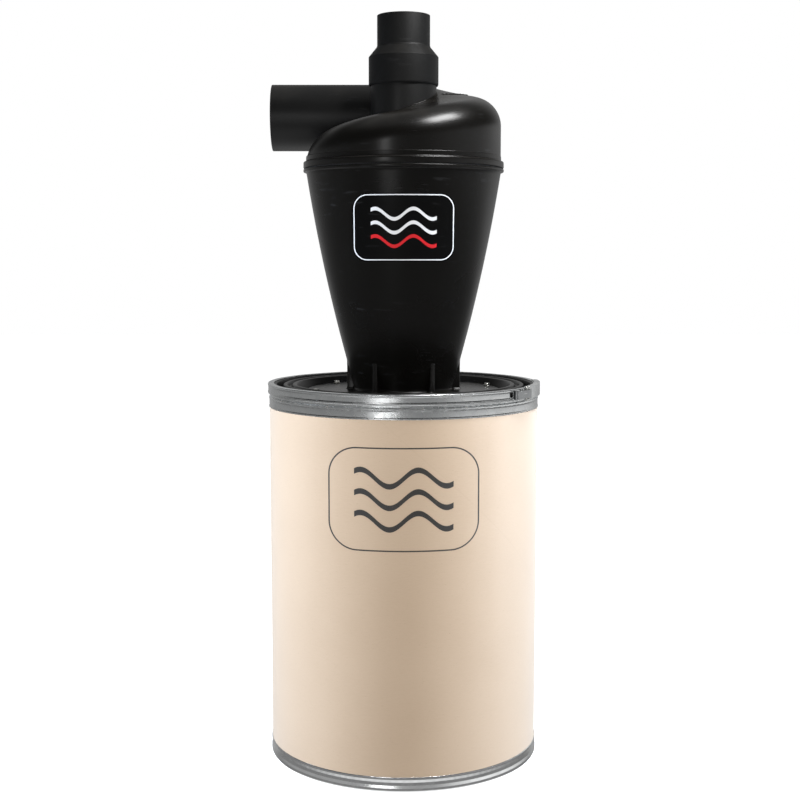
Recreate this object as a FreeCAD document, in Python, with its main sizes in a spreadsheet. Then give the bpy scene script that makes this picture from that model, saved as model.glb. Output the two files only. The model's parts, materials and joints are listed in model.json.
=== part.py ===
import FreeCAD, Part
import math
import os
import sys

import Sketcher

# A cyclone dust collector: a moulded cyclone bolted to the recessed lid of a
# round fibre drum, with a lever-lock ring that clamps the lid to the drum.
# Millimetres. +Z is up, the origin is on the floor under the drum's axis,
# and -Y is the front. Angles are counted from the front towards +X.

doc = FreeCAD.newDocument("dust_collector")
sheet = doc.addObject("Spreadsheet::Sheet", "sizes")

SIZES = [
    ("drum_radius", 258.5, "outside of the fibre wall"),
    ("drum_wall", 4.5, "thickness of the fibre wall"),
    ("drum_height", 697.2, "top edge of the fibre wall above the floor"),
    ("wall_foot", 1.6, "lower edge of the fibre wall above the floor"),
    ("chime_steel", 1.0, "sheet of both chimes"),
    ("chime_slip", 0.1, "gap from the fibre wall to a chime's outer skirt"),
    ("base_chime_height", 28.5, "outer skirt of the bottom chime"),
    ("top_chime_skirt", 20.2, "outer skirt of the top chime below the wall's edge"),
    ("disc_ledge", 12.0, "top of the ledge that carries the bottom disc"),
    ("disc_thickness", 6.0, "bottom disc"),
    ("bead_rise", 7.0, "underside of the chime's bead above the wall's edge"),
    ("bead_height", 6.0, "bead of the top chime"),
    ("bead_overhang", 2.8, "bead beyond its neck"),
    ("seal_gap", 0.2, "play above and below the lid gasket"),
    ("gasket_height", 6.0, "lid gasket"),
    ("lid_wall", 3.8, "thickness of the lid"),
    ("lid_recess", 19.4, "floor of the lid below its rim"),
    ("band_steel", 1.2, "sheet of the lock ring"),
    ("band_play", 0.4, "lock ring above the rim and under the bead"),
    ("band_side_play", 0.6, "lock ring outside the lid rim"),
    ("band_lip", 11.4, "top lip of the lock ring, from its outside"),
    ("band_hook", 4.0, "bottom lip of the lock ring, from its outside"),
    ("band_gap", 1.0, "degrees between the two ends of the lock ring"),
    ("split_angle", 54.5, "where the lock ring is split"),
    ("catch_angle", 50.5, "catch pin on the lock ring"),
    ("pivot_angle", 57.8, "pivot pin of the lever"),
    ("link_angle", 60.2, "pin that joins lever and link"),
    ("lever_start", 62.0, "near end of the lever's web"),
    ("lever_end", 97.0, "far end of the lever's web"),
    ("pin_stand_off", 4.8, "latch pins outside the lock ring"),
    ("pin_size", 1.7, "radius of the latch pins"),
    ("pin_play", 0.05, "running clearance round a latch pin"),
    ("latch_steel", 1.2, "sheet of lever, link and brackets"),
    ("link_half_height", 7.5, "link above and below the ring's middle"),
    ("flange_radius", 186.0, "base flange of the cyclone"),
    ("flange_height", 6.0, "base flange of the cyclone"),
    ("base_seal", 1.5, "gasket between base flange and lid"),
    ("bolt_circle", 176.0, "base bolts from the axis"),
    ("bolt_radius", 3.0, "base bolts"),
    ("bolt_play", 0.3, "holes round the base bolts"),
    ("bolt_turn", 20.0, "first base bolt, degrees towards the back from +X"),
    ("throat_radius", 92.0, "outside of the cone's spout in the lid"),
    ("spout_drop", 14.5, "spout below the top of the base flange's gasket"),
    ("shell_wall", 4.0, "wall of the moulded cyclone"),
    ("knee_radius", 109.2, "cone where its ribs end"),
    ("knee_rise", 55.5, "ribs above the base flange"),
    ("cone_top_radius", 184.2, "cone at its top"),
    ("cone_height", 407.5, "cone above the base flange"),
    ("cone_bulge", 3000.0, "radius of the cone's slightly crowned side"),
    ("rib_thickness", 9.0, "ribs round the cone's foot"),
    ("joint_radius", 190.6, "flanges between cone and head"),
    ("joint_height", 6.1, "cone's flange"),
    ("joint_seal", 1.2, "seal between cone and head"),
    ("head_flange_height", 12.2, "head's flange"),
    ("head_radius", 184.7, "outside of the head"),
    ("head_top", 1300.0, "highest point of the spiral roof"),
    ("roof_drop", 144.0, "fall of the roof in one turn"),
    ("roof_rise", 8.0, "roof from shoulder up to the outlet tube"),
    ("shoulder", 55.0, "rounding of the roof's outer edge"),
    ("inlet_radius", 64.7, "outside of the inlet tube"),
    ("inlet_wall", 3.0, "wall of the inlet tube"),
    ("inlet_reach", 259.5, "open end of the inlet tube from the axis"),
    ("outlet_radius", 62.5, "outside of the outlet tube"),
    ("outlet_wall", 3.0, "wall of the outlet tube"),
    ("outlet_foot", 1100.0, "lower end of the outlet tube"),
    ("slide_play", 0.3, "reducer round the outlet tube"),
    ("hub_wall", 7.9, "wall round the outlet tube inside the head"),
    ("stub_length", 35.0, "moulded stub that the inlet tube butts on"),
    ("reducer_wall", 3.3, "wall of the reducer"),
    ("sleeve_length", 53.0, "wide end of the reducer"),
    ("taper_length", 20.0, "cone of the reducer"),
    ("spigot_length", 57.5, "narrow end of the reducer"),
    ("spigot_radius", 50.0, "outside of the reducer's narrow end"),
    ("reducer_foot", 1284.0, "lower edge of the reducer"),
    ("label_width", 186.0, "label plate on the cone"),
    ("label_height", 122.0, "label plate on the cone"),
    ("label_middle", 1015.0, "label plate above the floor"),
    ("label_corner", 26.0, "rounding of the label plate's corners"),
    ("label_thickness", 0.8, "label plate"),
]

for row, (alias, value, note) in enumerate(SIZES, start=1):
    sheet.set("A%d" % row, alias)
    sheet.set("B%d" % row, str(value))
    sheet.set("C%d" % row, note)
    sheet.setAlias("B%d" % row, alias)
doc.recompute()


class Size:
    """A length as a number and as the expression that a feature is bound to."""

    def __init__(self, number, text):
        self.number = float(number)
        self.text = text

    def joined(self, other, sign, number):
        right = other.text if isinstance(other, Size) else repr(float(other))
        return Size(number, "(%s %s %s)" % (self.text, sign, right))

    def __add__(self, other):
        return self.joined(other, "+", self.number + plain(other))

    def __sub__(self, other):
        return self.joined(other, "-", self.number - plain(other))

    def __mul__(self, other):
        return self.joined(other, "*", self.number * plain(other))

    def __truediv__(self, other):
        return self.joined(other, "/", self.number / plain(other))


def plain(value):
    return value.number if isinstance(value, Size) else float(value)


def named(alias):
    return Size(sheet.get(alias), "sizes." + alias)


def new_body(label):
    body = doc.addObject("PartDesign::Body", label)
    body.Label = label
    return body


def origin_plane(body, role):
    return [item for item in body.Origin.OriginFeatures if item.Role == role][0]


def new_sketch(body, name, role, turn=None, lift=None):
    """A sketch on one of the body's own planes, turned about Z or lifted along it."""
    sketch = body.newObject("Sketcher::SketchObject", name)
    sketch.AttachmentSupport = [(origin_plane(body, role), "")]
    sketch.MapMode = "FlatFace"
    if turn is not None:
        upright = FreeCAD.Vector(0, 0, 1) if role == "XY_Plane" else FreeCAD.Vector(0, 1, 0)
        rotation = FreeCAD.Rotation(upright, plain(turn))
        sketch.AttachmentOffset = FreeCAD.Placement(FreeCAD.Vector(0, 0, 0), rotation)
        sketch.setExpression(".AttachmentOffset.Rotation.Angle", turn.text)
    if lift is not None:
        sketch.setExpression(".AttachmentOffset.Base.z", lift.text)
    return sketch


def pin_down(sketch, geo, end, place):
    """Fixes one end of a sketch line at a place given by two sizes."""
    for kind, size in zip(("DistanceX", "DistanceY"), place):
        if plain(size) == 0.0:
            axis = -2 if kind == "DistanceX" else -1
            sketch.addConstraint(Sketcher.Constraint("PointOnObject", geo, end, axis))
            continue
        index = sketch.addConstraint(Sketcher.Constraint(kind, -1, 1, geo, end, plain(size)))
        if isinstance(size, Size):
            sketch.setExpression("Constraints[%d]" % index, size.text)


def arc_middle(first, last, radius, side):
    """The middle point of the arc with this radius that bulges to one side."""
    chord = last - first
    sagitta = radius - math.sqrt(radius ** 2 - chord.Length ** 2 / 4)
    across = FreeCAD.Vector(-chord.y, chord.x, 0).normalize()
    return (first + last) * 0.5 + across * (sagitta * side)


def outline(sketch, corners):
    """A closed outline. A corner is (x, y), or (x, y, radius, side) where the
    edge that arrives there is an arc bulging to the left (+1) or right (-1)."""
    points = [FreeCAD.Vector(plain(c[0]), plain(c[1]), 0) for c in corners]
    edges = []
    for number, corner in enumerate(corners):
        first = points[number - 1]
        last = points[number]
        if len(corner) == 2:
            geo = sketch.addGeometry(Part.LineSegment(first, last))
            edges.append((geo, 1, 2))
            continue
        middle = arc_middle(first, last, plain(corner[2]), corner[3])
        # Sketch arcs run counter-clockwise, so one that bulges left is drawn backwards.
        if corner[3] < 0:
            geo = sketch.addGeometry(Part.Arc(first, middle, last))
            edges.append((geo, 1, 2))
        else:
            geo = sketch.addGeometry(Part.Arc(last, middle, first))
            edges.append((geo, 2, 1))
    for number, (geo, start, end) in enumerate(edges):
        following = edges[(number + 1) % len(edges)]
        link = Sketcher.Constraint("Coincident", geo, end, following[0], following[1])
        sketch.addConstraint(link)
        pin_down(sketch, geo, end, corners[number][:2])
        if len(corners[number]) == 4:
            radius = corners[number][2]
            bend = Sketcher.Constraint("Radius", geo, plain(radius))
            index = sketch.addConstraint(bend)
            sketch.setExpression("Constraints[%d]" % index, radius.text)


def turned(body, name, corners, span=None, turn=None, cut=False):
    """Revolves an outline of (radius, height) corners about the body's Z axis.
    A span in degrees makes a part ring, centred on the turn angle."""
    sketch = new_sketch(body, name + "_outline", "XZ_Plane", turn=turn)
    outline(sketch, corners)
    kind = "PartDesign::Groove" if cut else "PartDesign::Revolution"
    feature = body.newObject(kind, name)
    feature.Profile = sketch
    feature.ReferenceAxis = (sketch, ["V_Axis"])
    feature.Angle = 360
    if span is not None:
        feature.Midplane = True
        feature.Angle = plain(span)
        feature.setExpression("Angle", span.text)
    return feature


def rectangle(inner, outer, low, high):
    return [(inner, low), (outer, low), (outer, high), (inner, high)]


def post(body, name, radius, distance, low, height, turn=None, cut=False):
    """A round post or hole along Z, at a distance from the body's Z axis."""
    sketch = new_sketch(body, name + "_outline", "XY_Plane", turn=turn, lift=low)
    centre = FreeCAD.Vector(plain(distance), 0, 0)
    circle = Part.Circle(centre, FreeCAD.Vector(0, 0, 1), plain(radius))
    geo = sketch.addGeometry(circle)
    pin_down(sketch, geo, 3, (distance, 0.0))
    index = sketch.addConstraint(Sketcher.Constraint("Radius", geo, plain(radius)))
    sketch.setExpression("Constraints[%d]" % index, radius.text)
    feature = body.newObject("PartDesign::Pocket" if cut else "PartDesign::Pad", name)
    feature.Profile = sketch
    feature.Length = plain(height)
    feature.setExpression("Length", height.text)
    feature.Reversed = cut
    return feature


def around(body, feature, count):
    """Repeats a feature evenly about the body's Z axis."""
    pattern = body.newObject("PartDesign::PolarPattern", feature.Name + "_pattern")
    pattern.Originals = [feature]
    pattern.Axis = (origin_plane(body, "Z_Axis"), [""])
    pattern.Angle = 360
    pattern.Occurrences = count
    body.Tip = pattern
    return pattern


def rounded(body, base, radius, rings):
    """Rounds the circular edges of a feature that lie at these (radius, height)."""
    doc.recompute()
    names = []
    for number, edge in enumerate(base.Shape.Edges, start=1):
        curve = edge.Curve
        if not isinstance(curve, Part.Circle):
            continue
        for ring_radius, height in rings:
            far = abs(curve.Radius - plain(ring_radius)) + abs(curve.Center.z - plain(height))
            if far < 0.01:
                names.append("Edge%d" % number)
    feature = body.newObject("PartDesign::Fillet", base.Name + "_rounded")
    feature.Base = (base, names)
    feature.Radius = plain(radius)
    if isinstance(radius, Size):
        feature.setExpression("Radius", radius.text)
    return feature


def swing(body, angle):
    """Turns a whole body so that its +X points at an angle counted from the front."""
    body.Placement = FreeCAD.Placement(
        FreeCAD.Vector(0, 0, 0), FreeCAD.Rotation(FreeCAD.Vector(0, 0, 1), plain(angle) - 90)
    )
    body.setExpression(".Placement.Rotation.Angle", "(%s - 90)" % angle.text)


# Levels and radii that several pieces share.
drum_radius = named("drum_radius")
drum_height = named("drum_height")
steel = named("chime_steel")
skirt_inside = drum_radius + named("chime_slip")
skirt_outside = skirt_inside + steel
lining_outside = drum_radius - named("drum_wall") - 0.2
lining_inside = lining_outside - steel
disc_top = named("disc_ledge") + named("disc_thickness")
bead_low = drum_height + named("bead_rise")
bead_top = bead_low + named("bead_height")
bead_outside = drum_radius + 0.9
bead_neck = bead_outside - named("bead_overhang")
gasket_low = bead_top + named("seal_gap")
rim_low = gasket_low + named("gasket_height") + named("seal_gap")
rim_top = rim_low + named("lid_wall")
rim_outside = drum_radius + 1.1
floor_top = rim_top - named("lid_recess")
floor_low = floor_top - named("lid_wall")
band_steel = named("band_steel")
band_inside = rim_outside + named("band_side_play")
band_outside = band_inside + band_steel
band_top = rim_top + named("band_play") + band_steel
band_low = bead_low - named("band_play") - band_steel
band_middle = (band_top + band_low) / 2
pin_circle = band_outside + named("pin_stand_off")
flange_low = floor_top + named("base_seal")
flange_top = flange_low + named("flange_height")
cone_top = flange_top + named("cone_height")
joint_low = cone_top + 5.5
joint_top = joint_low + named("joint_height")
head_low = joint_top + named("joint_seal")
head_flange_top = head_low + named("head_flange_height")
shell_wall = named("shell_wall")
inlet_radius = named("inlet_radius")
inlet_centre = named("head_radius") - inlet_radius
inlet_level = named("head_top") - inlet_radius + 0.7
outlet_radius = named("outlet_radius")
outlet_top = named("reducer_foot") + named("sleeve_length") - 3.5


def drum_body():
    body = new_body("drum_body")
    wall = rectangle(drum_radius - named("drum_wall"), drum_radius, named("wall_foot"), drum_height)
    turned(body, "wall", wall)
    return body


def drum_bottom():
    body = new_body("drum_bottom")
    disc = rectangle(Size(0, "0"), lining_inside - 0.3, named("disc_ledge"), disc_top)
    turned(body, "disc", disc)
    return body


def bottom_chime():
    """A steel channel round the wall's foot, with a ledge for the bottom disc."""
    body = new_body("bottom_chime")
    ledge_inside = lining_inside - 8.0
    corners = [
        (lining_inside, steel),
        (lining_inside + steel, Size(0, "0")),
        (skirt_outside - steel, Size(0, "0")),
        (skirt_outside, steel),
        (skirt_outside, named("base_chime_height")),
        (skirt_inside, named("base_chime_height")),
        (skirt_inside, steel + 0.2),
        (lining_outside, steel + 0.2),
        (lining_outside, disc_top + 4.0),
        (lining_inside, disc_top + 4.0),
        (lining_inside, named("disc_ledge")),
        (ledge_inside, named("disc_ledge")),
        (ledge_inside, named("disc_ledge") - steel),
        (lining_inside, named("disc_ledge") - steel),
    ]
    turned(body, "channel", corners)
    return body


def top_chime():
    """A steel channel over the wall's top edge, necked in under a rolled bead."""
    body = new_body("top_chime")
    skirt_low = drum_height - named("top_chime_skirt")
    corners = [
        (lining_inside, skirt_low),
        (lining_outside, skirt_low),
        (lining_outside, drum_height + 0.2),
        (skirt_inside, drum_height + 0.2),
        (skirt_inside, skirt_low),
        (skirt_outside, skirt_low),
        (skirt_outside, drum_height),
        (bead_neck, drum_height + 1.8),
        (bead_neck, bead_low),
        (bead_outside, bead_low),
        (bead_outside, bead_top),
        (lining_inside, bead_top),
    ]
    roll = turned(body, "channel", corners)
    edges = [(bead_outside, bead_low), (bead_outside, bead_top), (lining_inside, bead_top)]
    rounded(body, roll, steel * 0.9, edges)
    return body


def lid_gasket():
    body = new_body("lid_gasket")
    inside = drum_radius - 9.8
    outside = drum_radius - 2.7
    section = rectangle(inside, outside, gasket_low, gasket_low + named("gasket_height"))
    turned(body, "seal", section)
    return body


def bolt_holes(body, low, height):
    hole = named("bolt_radius") + named("bolt_play")
    turn = named("bolt_turn")
    first = post(body, "bolt_hole", hole, named("bolt_circle"), low, height, turn, cut=True)
    around(body, first, BASE_BOLTS)


def lid():
    """A moulded lid: rim, moat, two round ridges and a deep flat-floored recess."""
    body = new_body("lid")
    wall = named("lid_wall")
    plug = drum_radius - 12.0
    moat_floor = rim_top - 15.4
    ridge_top = rim_top - 0.9
    dip_floor = rim_top - 8.9
    recess_foot = named("flange_radius") + 14.0
    bore = named("throat_radius") + 1.0
    corners = [
        (rim_outside, gasket_low + 0.6),
        (rim_outside, rim_top),
        (plug - 1.5, rim_top),
        (plug - 3.5, moat_floor),
        (plug - 13.0, moat_floor),
        (plug - 15.0, ridge_top),
        (plug - 22.0, ridge_top),
        (plug - 24.5, dip_floor),
        (plug - 30.0, dip_floor),
        (plug - 33.0, ridge_top),
        (plug - 40.5, ridge_top),
        (recess_foot, floor_top),
        (bore, floor_top),
        (bore, floor_low),
        (recess_foot + 3.0, floor_low),
        (plug - 37.9, ridge_top - wall),
        (plug - 35.5, ridge_top - wall),
        (plug - 32.5, dip_floor - wall),
        (plug - 21.9, dip_floor - wall),
        (plug - 19.3, ridge_top - wall),
        (plug - 18.1, ridge_top - wall),
        (plug - 16.3, moat_floor - wall),
        (plug - 0.1, moat_floor - wall),
        (plug + 1.9, rim_low),
        (rim_outside - 3.5, rim_low),
        (rim_outside - 3.5, gasket_low + 0.6),
    ]
    shell = turned(body, "shell", corners)
    crowns = [
        (rim_outside, rim_top),
        (plug - 1.5, rim_top),
        (plug - 15.0, ridge_top),
        (plug - 22.0, ridge_top),
        (plug - 33.0, ridge_top),
        (plug - 40.5, ridge_top),
    ]
    rounded(body, shell, wall * 0.45, crowns)
    bolt_holes(body, floor_low - 5.0, wall + 10.0)
    return body


def base_gasket():
    body = new_body("base_gasket")
    bore = named("throat_radius") + 1.0
    turned(body, "sheet", rectangle(bore, named("flange_radius"), floor_top, flange_low))
    bolt_holes(body, floor_top - 5.0, named("base_seal") + 10.0)
    return body


def cone_sides():
    """The cone's outer and inner points: spout, knee where the ribs end, and top."""
    throat = named("throat_radius")
    knee = flange_top + named("knee_rise")
    outer = [throat + 3.5, named("knee_radius"), named("cone_top_radius")]
    levels = [flange_top, knee, cone_top]
    return outer, levels


def cyclone_cone():
    """The tapered lower half: spout, base flange, crowned cone and top flange."""
    body = new_body("cyclone_cone")
    throat = named("throat_radius")
    spout_low = flange_low - named("spout_drop")
    bulge = named("cone_bulge")
    radii, levels = cone_sides()
    corners = [
        (throat - shell_wall, spout_low),
        (throat, spout_low),
        (throat, flange_low),
        (named("flange_radius"), flange_low),
        (named("flange_radius"), flange_top),
        (radii[0], levels[0]),
        (radii[1], levels[1]),
        (radii[2], levels[2], bulge, -1),
        (radii[2] + 1.0, joint_low),
        (named("joint_radius"), joint_low),
        (named("joint_radius"), joint_top),
        (radii[2] - shell_wall + 0.8, joint_top),
        (radii[2] - shell_wall, levels[2]),
        (radii[1] - shell_wall, levels[1], bulge, 1),
        (throat - shell_wall, levels[0]),
    ]
    shell = turned(body, "shell", corners)
    joint = named("joint_radius")
    edges = [(joint, joint_low), (named("flange_radius"), flange_top)]
    rounded(body, shell, shell_wall * 0.4, edges)

    sketch = new_sketch(body, "rib_outline", "XZ_Plane", turn=Size(30, "30"))
    rib = [
        (throat + 0.5, flange_top - 2.0),
        (named("knee_radius") - 0.2, flange_top - 2.0),
        (named("knee_radius") - 0.2, levels[1] - 1.0),
        (radii[0] - 0.8, flange_top),
    ]
    outline(sketch, rib)
    pad = body.newObject("PartDesign::Pad", "rib")
    pad.Profile = sketch
    pad.Midplane = True
    pad.Length = 9
    pad.setExpression("Length", "sizes.rib_thickness")
    # The ribs stand on both sides of the front, at 30 degrees and every 60 from it.
    around(body, pad, RIBS)
    bolt_holes(body, flange_low - 5.0, named("flange_height") + 10.0)
    return body


def joint_seal():
    body = new_body("joint_seal")
    radii, _ = cone_sides()
    inner = radii[2] - shell_wall + 1.5
    turned(body, "seal", rectangle(inner, named("joint_radius") - 2.2, joint_top, head_low))
    return body


def roof_outline(sketch, inset, inner, depth):
    """A section of the head's air channel: roof, rounded shoulder and outer wall."""
    outer = named("head_radius") - inset
    top = named("head_top") - inset
    low = named("head_top") - depth
    bend = named("shoulder") - inset
    corners = [
        (inner, top + named("roof_rise")),
        (inner, low),
        (outer, low),
        (outer, top - bend),
        (outer - bend, top, bend, -1),
    ]
    outline(sketch, corners)


def roof_turn(body, name, kind, inset, inner, depth):
    """Nearly one turn of the roof, which falls clockwise from the back, seen from above."""
    sketch = new_sketch(body, name + "_outline", "YZ_Plane")
    roof_outline(sketch, inset, inner, depth)
    feature = body.newObject(kind, name)
    feature.Profile = sketch
    feature.ReferenceAxis = (sketch, ["V_Axis"])
    feature.Mode = "pitch-turns-angle"
    feature.Pitch = plain(named("roof_drop"))
    feature.setExpression("Pitch", "sizes.roof_drop")
    feature.Turns = 0.97
    feature.Reversed = True
    return feature


def across_disc(body, name, radius, length, cut=False):
    """A disc or hole on the inlet tube's axis, from the end wall towards -X."""
    sketch = new_sketch(body, name + "_outline", "YZ_Plane")
    centre = FreeCAD.Vector(plain(inlet_centre), plain(inlet_level), 0)
    geo = sketch.addGeometry(Part.Circle(centre, FreeCAD.Vector(0, 0, 1), plain(radius)))
    pin_down(sketch, geo, 3, (inlet_centre, inlet_level))
    index = sketch.addConstraint(Sketcher.Constraint("Radius", geo, plain(radius)))
    sketch.setExpression("Constraints[%d]" % index, radius.text)
    feature = body.newObject("PartDesign::Pocket" if cut else "PartDesign::Pad", name)
    feature.Profile = sketch
    feature.Length = plain(length)
    feature.setExpression("Length", length.text)
    feature.Reversed = not cut
    return feature


def cyclone_head():
    """The upper half: a round pan under a roof that falls in one spiral turn,
    closed by an upright wall at the back where the inlet tube enters."""
    body = new_body("cyclone_head")
    outer = named("head_radius")
    hub = outlet_radius + 0.1
    nothing = Size(0, "0")
    pan_top = named("head_top") - named("roof_drop") - shell_wall
    channel = named("roof_drop") + 6.0
    core = hub - 3.0
    # The pan stands a little proud of the swept wall above it, so the two don't share a face.
    pan_outer = outer + 0.4
    roof_turn(body, "roof", "PartDesign::AdditiveHelix", nothing, core, channel)
    pan = [
        (core, head_low),
        (named("joint_radius"), head_low),
        (named("joint_radius"), head_flange_top),
        (pan_outer, head_flange_top),
        (pan_outer, pan_top),
        (core, pan_top),
    ]
    turned(body, "pan", pan)

    closing = new_sketch(body, "end_wall_outline", "YZ_Plane")
    roof_outline(closing, nothing, core, channel)
    wall = body.newObject("PartDesign::Pad", "end_wall")
    wall.Profile = closing
    wall.Length = plain(shell_wall)
    wall.setExpression("Length", shell_wall.text)
    wall.Reversed = True
    across_disc(body, "stub", inlet_radius + 1.0, named("stub_length"))

    hub_outside = hub + named("hub_wall")
    hollow_depth = channel + 30.0
    roof_turn(body, "hollow", "PartDesign::SubtractiveHelix", shell_wall, hub_outside, hollow_depth)
    below = rectangle(core, pan_outer - shell_wall, head_low - 10.0, pan_top - shell_wall)
    turned(body, "hollow_pan", below, cut=True)
    flange_foot = rectangle(core, named("joint_radius") + 30.0, head_low - 200.0, head_low)
    turned(body, "trim", flange_foot, cut=True)
    bore = inlet_radius - named("inlet_wall")
    across_disc(body, "mouth", bore, named("stub_length"), cut=True)
    hub_hole = rectangle(nothing, hub, head_low - 10.0, named("head_top") + 50.0)
    turned(body, "hub_hole", hub_hole, cut=True)
    # The reducer's sleeve stands in a round pocket where the roof is higher than its foot.
    sleeve = outlet_radius + named("slide_play") + named("reducer_wall") + 0.8
    pocket = rectangle(nothing, sleeve, named("reducer_foot") - 0.8, named("head_top") + 50.0)
    turned(body, "sleeve_pocket", pocket, cut=True)
    return body


def inlet_tube():
    """A straight tube that meets the head's end wall tangent to the outer wall."""
    tube = doc.addObject("Part::Cylinder", "inlet_outside")
    bore = doc.addObject("Part::Cylinder", "inlet_bore")
    start = named("inlet_reach")
    length = start - named("stub_length")
    for item, radius in ((tube, inlet_radius), (bore, inlet_radius - named("inlet_wall"))):
        item.setExpression("Radius", radius.text)
        item.setExpression("Height", length.text)
        turn = FreeCAD.Rotation(FreeCAD.Vector(0, 1, 0), 90)
        item.Placement = FreeCAD.Placement(FreeCAD.Vector(0, 0, 0), turn)
        item.setExpression(".Placement.Base.x", "-" + start.text)
        item.setExpression(".Placement.Base.y", inlet_centre.text)
        item.setExpression(".Placement.Base.z", inlet_level.text)
    pipe = doc.addObject("Part::Cut", "inlet_tube")
    pipe.Base = tube
    pipe.Tool = bore
    pipe.Label = "inlet_tube"
    return pipe


def outlet_tube():
    body = new_body("outlet_tube")
    inner = outlet_radius - named("outlet_wall")
    turned(body, "pipe", rectangle(inner, outlet_radius, named("outlet_foot"), outlet_top))
    return body


def reducer():
    """A push-on reducer: wide sleeve over the outlet tube, taper and spigot."""
    body = new_body("reducer")
    wall = named("reducer_wall")
    bore = outlet_radius + named("slide_play")
    foot = named("reducer_foot")
    shoulder = foot + named("sleeve_length")
    neck = shoulder + named("taper_length")
    top = neck + named("spigot_length")
    spigot = named("spigot_radius")
    corners = [
        (bore, foot),
        (bore + wall, foot),
        (bore + wall, shoulder),
        (spigot, neck),
        (spigot, top),
        (spigot - wall, top),
        (spigot - wall, neck - 1.5),
        (bore - 4.0, outlet_top),
        (bore, outlet_top),
    ]
    turned(body, "shell", corners)
    return body


def cyclone_label():
    """A thin curved plate with rounded corners, on the front of the cone."""
    radii, levels = cone_sides()
    lift = 0.15
    thickness = named("label_thickness")
    body = new_body("label_sheet")
    bulge = named("cone_bulge")
    corners = [
        (radii[1] + lift, levels[1]),
        (radii[1] + lift + thickness, levels[1]),
        (radii[2] + lift + thickness, levels[2], bulge, -1),
        (radii[2] + lift, levels[2]),
    ]
    closing = (radii[1] + lift, levels[1], bulge, 1)
    turned(body, "sheet", corners[1:] + [closing], span=Size(150, "150"))
    body.Placement = FreeCAD.Placement(
        FreeCAD.Vector(0, 0, 0), FreeCAD.Rotation(FreeCAD.Vector(0, 0, 1), -90)
    )
    plate = doc.addObject("Part::Box", "label_blank")
    width = named("label_width")
    height = named("label_height")
    plate.setExpression("Length", width.text)
    plate.setExpression("Height", height.text)
    plate.setExpression("Width", named("head_radius").text)
    plate.setExpression(".Placement.Base.x", "-%s / 2" % width.text)
    plate.setExpression(".Placement.Base.y", "-%s" % named("head_radius").text)
    plate.setExpression(".Placement.Base.z", (named("label_middle") - height / 2).text)
    doc.recompute()
    blank = doc.addObject("Part::Fillet", "label_rounded")
    blank.Base = plate
    edges = []
    for number, edge in enumerate(plate.Shape.Edges, start=1):
        if abs(edge.tangentAt(edge.FirstParameter).y) > 0.99:
            edges.append((number, plain(named("label_corner")), plain(named("label_corner"))))
    blank.Edges = edges
    label = doc.addObject("Part::Common", "cyclone_label")
    label.Base = body
    label.Tool = blank
    label.Label = "cyclone_label"
    return label


def at_base_bolts(make):
    """A group of equal separate solids, one at each base bolt."""
    shapes = []
    for number in range(BASE_BOLTS):
        angle = plain(named("bolt_turn")) + number * 360 / BASE_BOLTS
        shape = make()
        shape.translate(FreeCAD.Vector(plain(named("bolt_circle")), 0, 0))
        shape.rotate(FreeCAD.Vector(0, 0, 0), FreeCAD.Vector(0, 0, 1), angle)
        shapes.append(shape)
    return Part.makeCompound(shapes)


def grouped(label, make):
    item = doc.addObject("Part::Feature", label)
    item.Label = label
    item.Shape = at_base_bolts(make)
    item.Placement = FreeCAD.Placement()
    return item


def hexagon(across, low, height):
    corner = across / math.sqrt(3)
    angles = [math.radians(60 * number) for number in range(7)]
    points = [FreeCAD.Vector(corner * math.cos(a), corner * math.sin(a), low) for a in angles]
    return Part.Face(Part.makePolygon(points)).extrude(FreeCAD.Vector(0, 0, height))


WASHER = 1.2
NUT_HEIGHT = 5.0
HEAD_HEIGHT = 4.0
HEX_ACROSS = 10.0
BASE_BOLTS = 6
RIBS = 6


def bolt_shape():
    radius = plain(named("bolt_radius"))
    low = plain(floor_low) - WASHER - NUT_HEIGHT - 4.0
    head = plain(flange_top) + WASHER
    shank = Part.makeCylinder(radius, head - low + 1.0, FreeCAD.Vector(0, 0, low))
    return shank.fuse(hexagon(HEX_ACROSS, head, HEAD_HEIGHT)).removeSplitter()


def washer_shape(low):
    hole = plain(named("bolt_radius")) + 0.2
    outer = Part.makeCylinder(hole * 2, WASHER, FreeCAD.Vector(0, 0, low))
    return outer.cut(Part.makeCylinder(hole, WASHER, FreeCAD.Vector(0, 0, low)))


def nut_shape():
    hole = plain(named("bolt_radius")) + 0.05
    low = plain(floor_low) - WASHER - NUT_HEIGHT
    bore = Part.makeCylinder(hole, NUT_HEIGHT, FreeCAD.Vector(0, 0, low))
    return hexagon(HEX_ACROSS, low, NUT_HEIGHT).cut(bore)


def fasteners():
    head_low_face = plain(flange_top)
    return [
        grouped("base_bolts", bolt_shape),
        grouped("bolt_washers", lambda: washer_shape(head_low_face)),
        grouped("nut_washers", lambda: washer_shape(plain(floor_low) - WASHER)),
        grouped("base_nuts", nut_shape),
    ]


def band_section():
    """The lock ring's section: top lip over the lid rim, hook under the bead."""
    lip = band_outside - named("band_lip")
    hook = band_outside - named("band_hook")
    return [
        (hook, band_low),
        (band_outside, band_low),
        (band_outside, band_top),
        (lip, band_top),
        (lip, band_top - band_steel),
        (band_inside, band_top - band_steel),
        (band_inside, band_low + band_steel),
        (hook, band_low + band_steel),
    ]


def band_half(label, side):
    """Half of the lock ring. Its two halves spread about the back of the ring."""
    body = new_body(label)
    gap = named("band_gap")
    span = Size(180, "180") - gap / 2 - 0.1
    middle = named("split_angle") + (gap / 2 + span / 2) * side
    turned(body, "channel", band_section(), span=span)
    if side < 0:
        turn = named("catch_angle") - 2.2 - middle
        window = rectangle(band_inside - 2.0, band_outside + 2.0, band_middle - 5.7, band_middle + 5.7)
        turned(body, "window", window, span=Size(1.8, "1.8"), turn=turn, cut=True)
    swing(body, middle)
    return body


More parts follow.
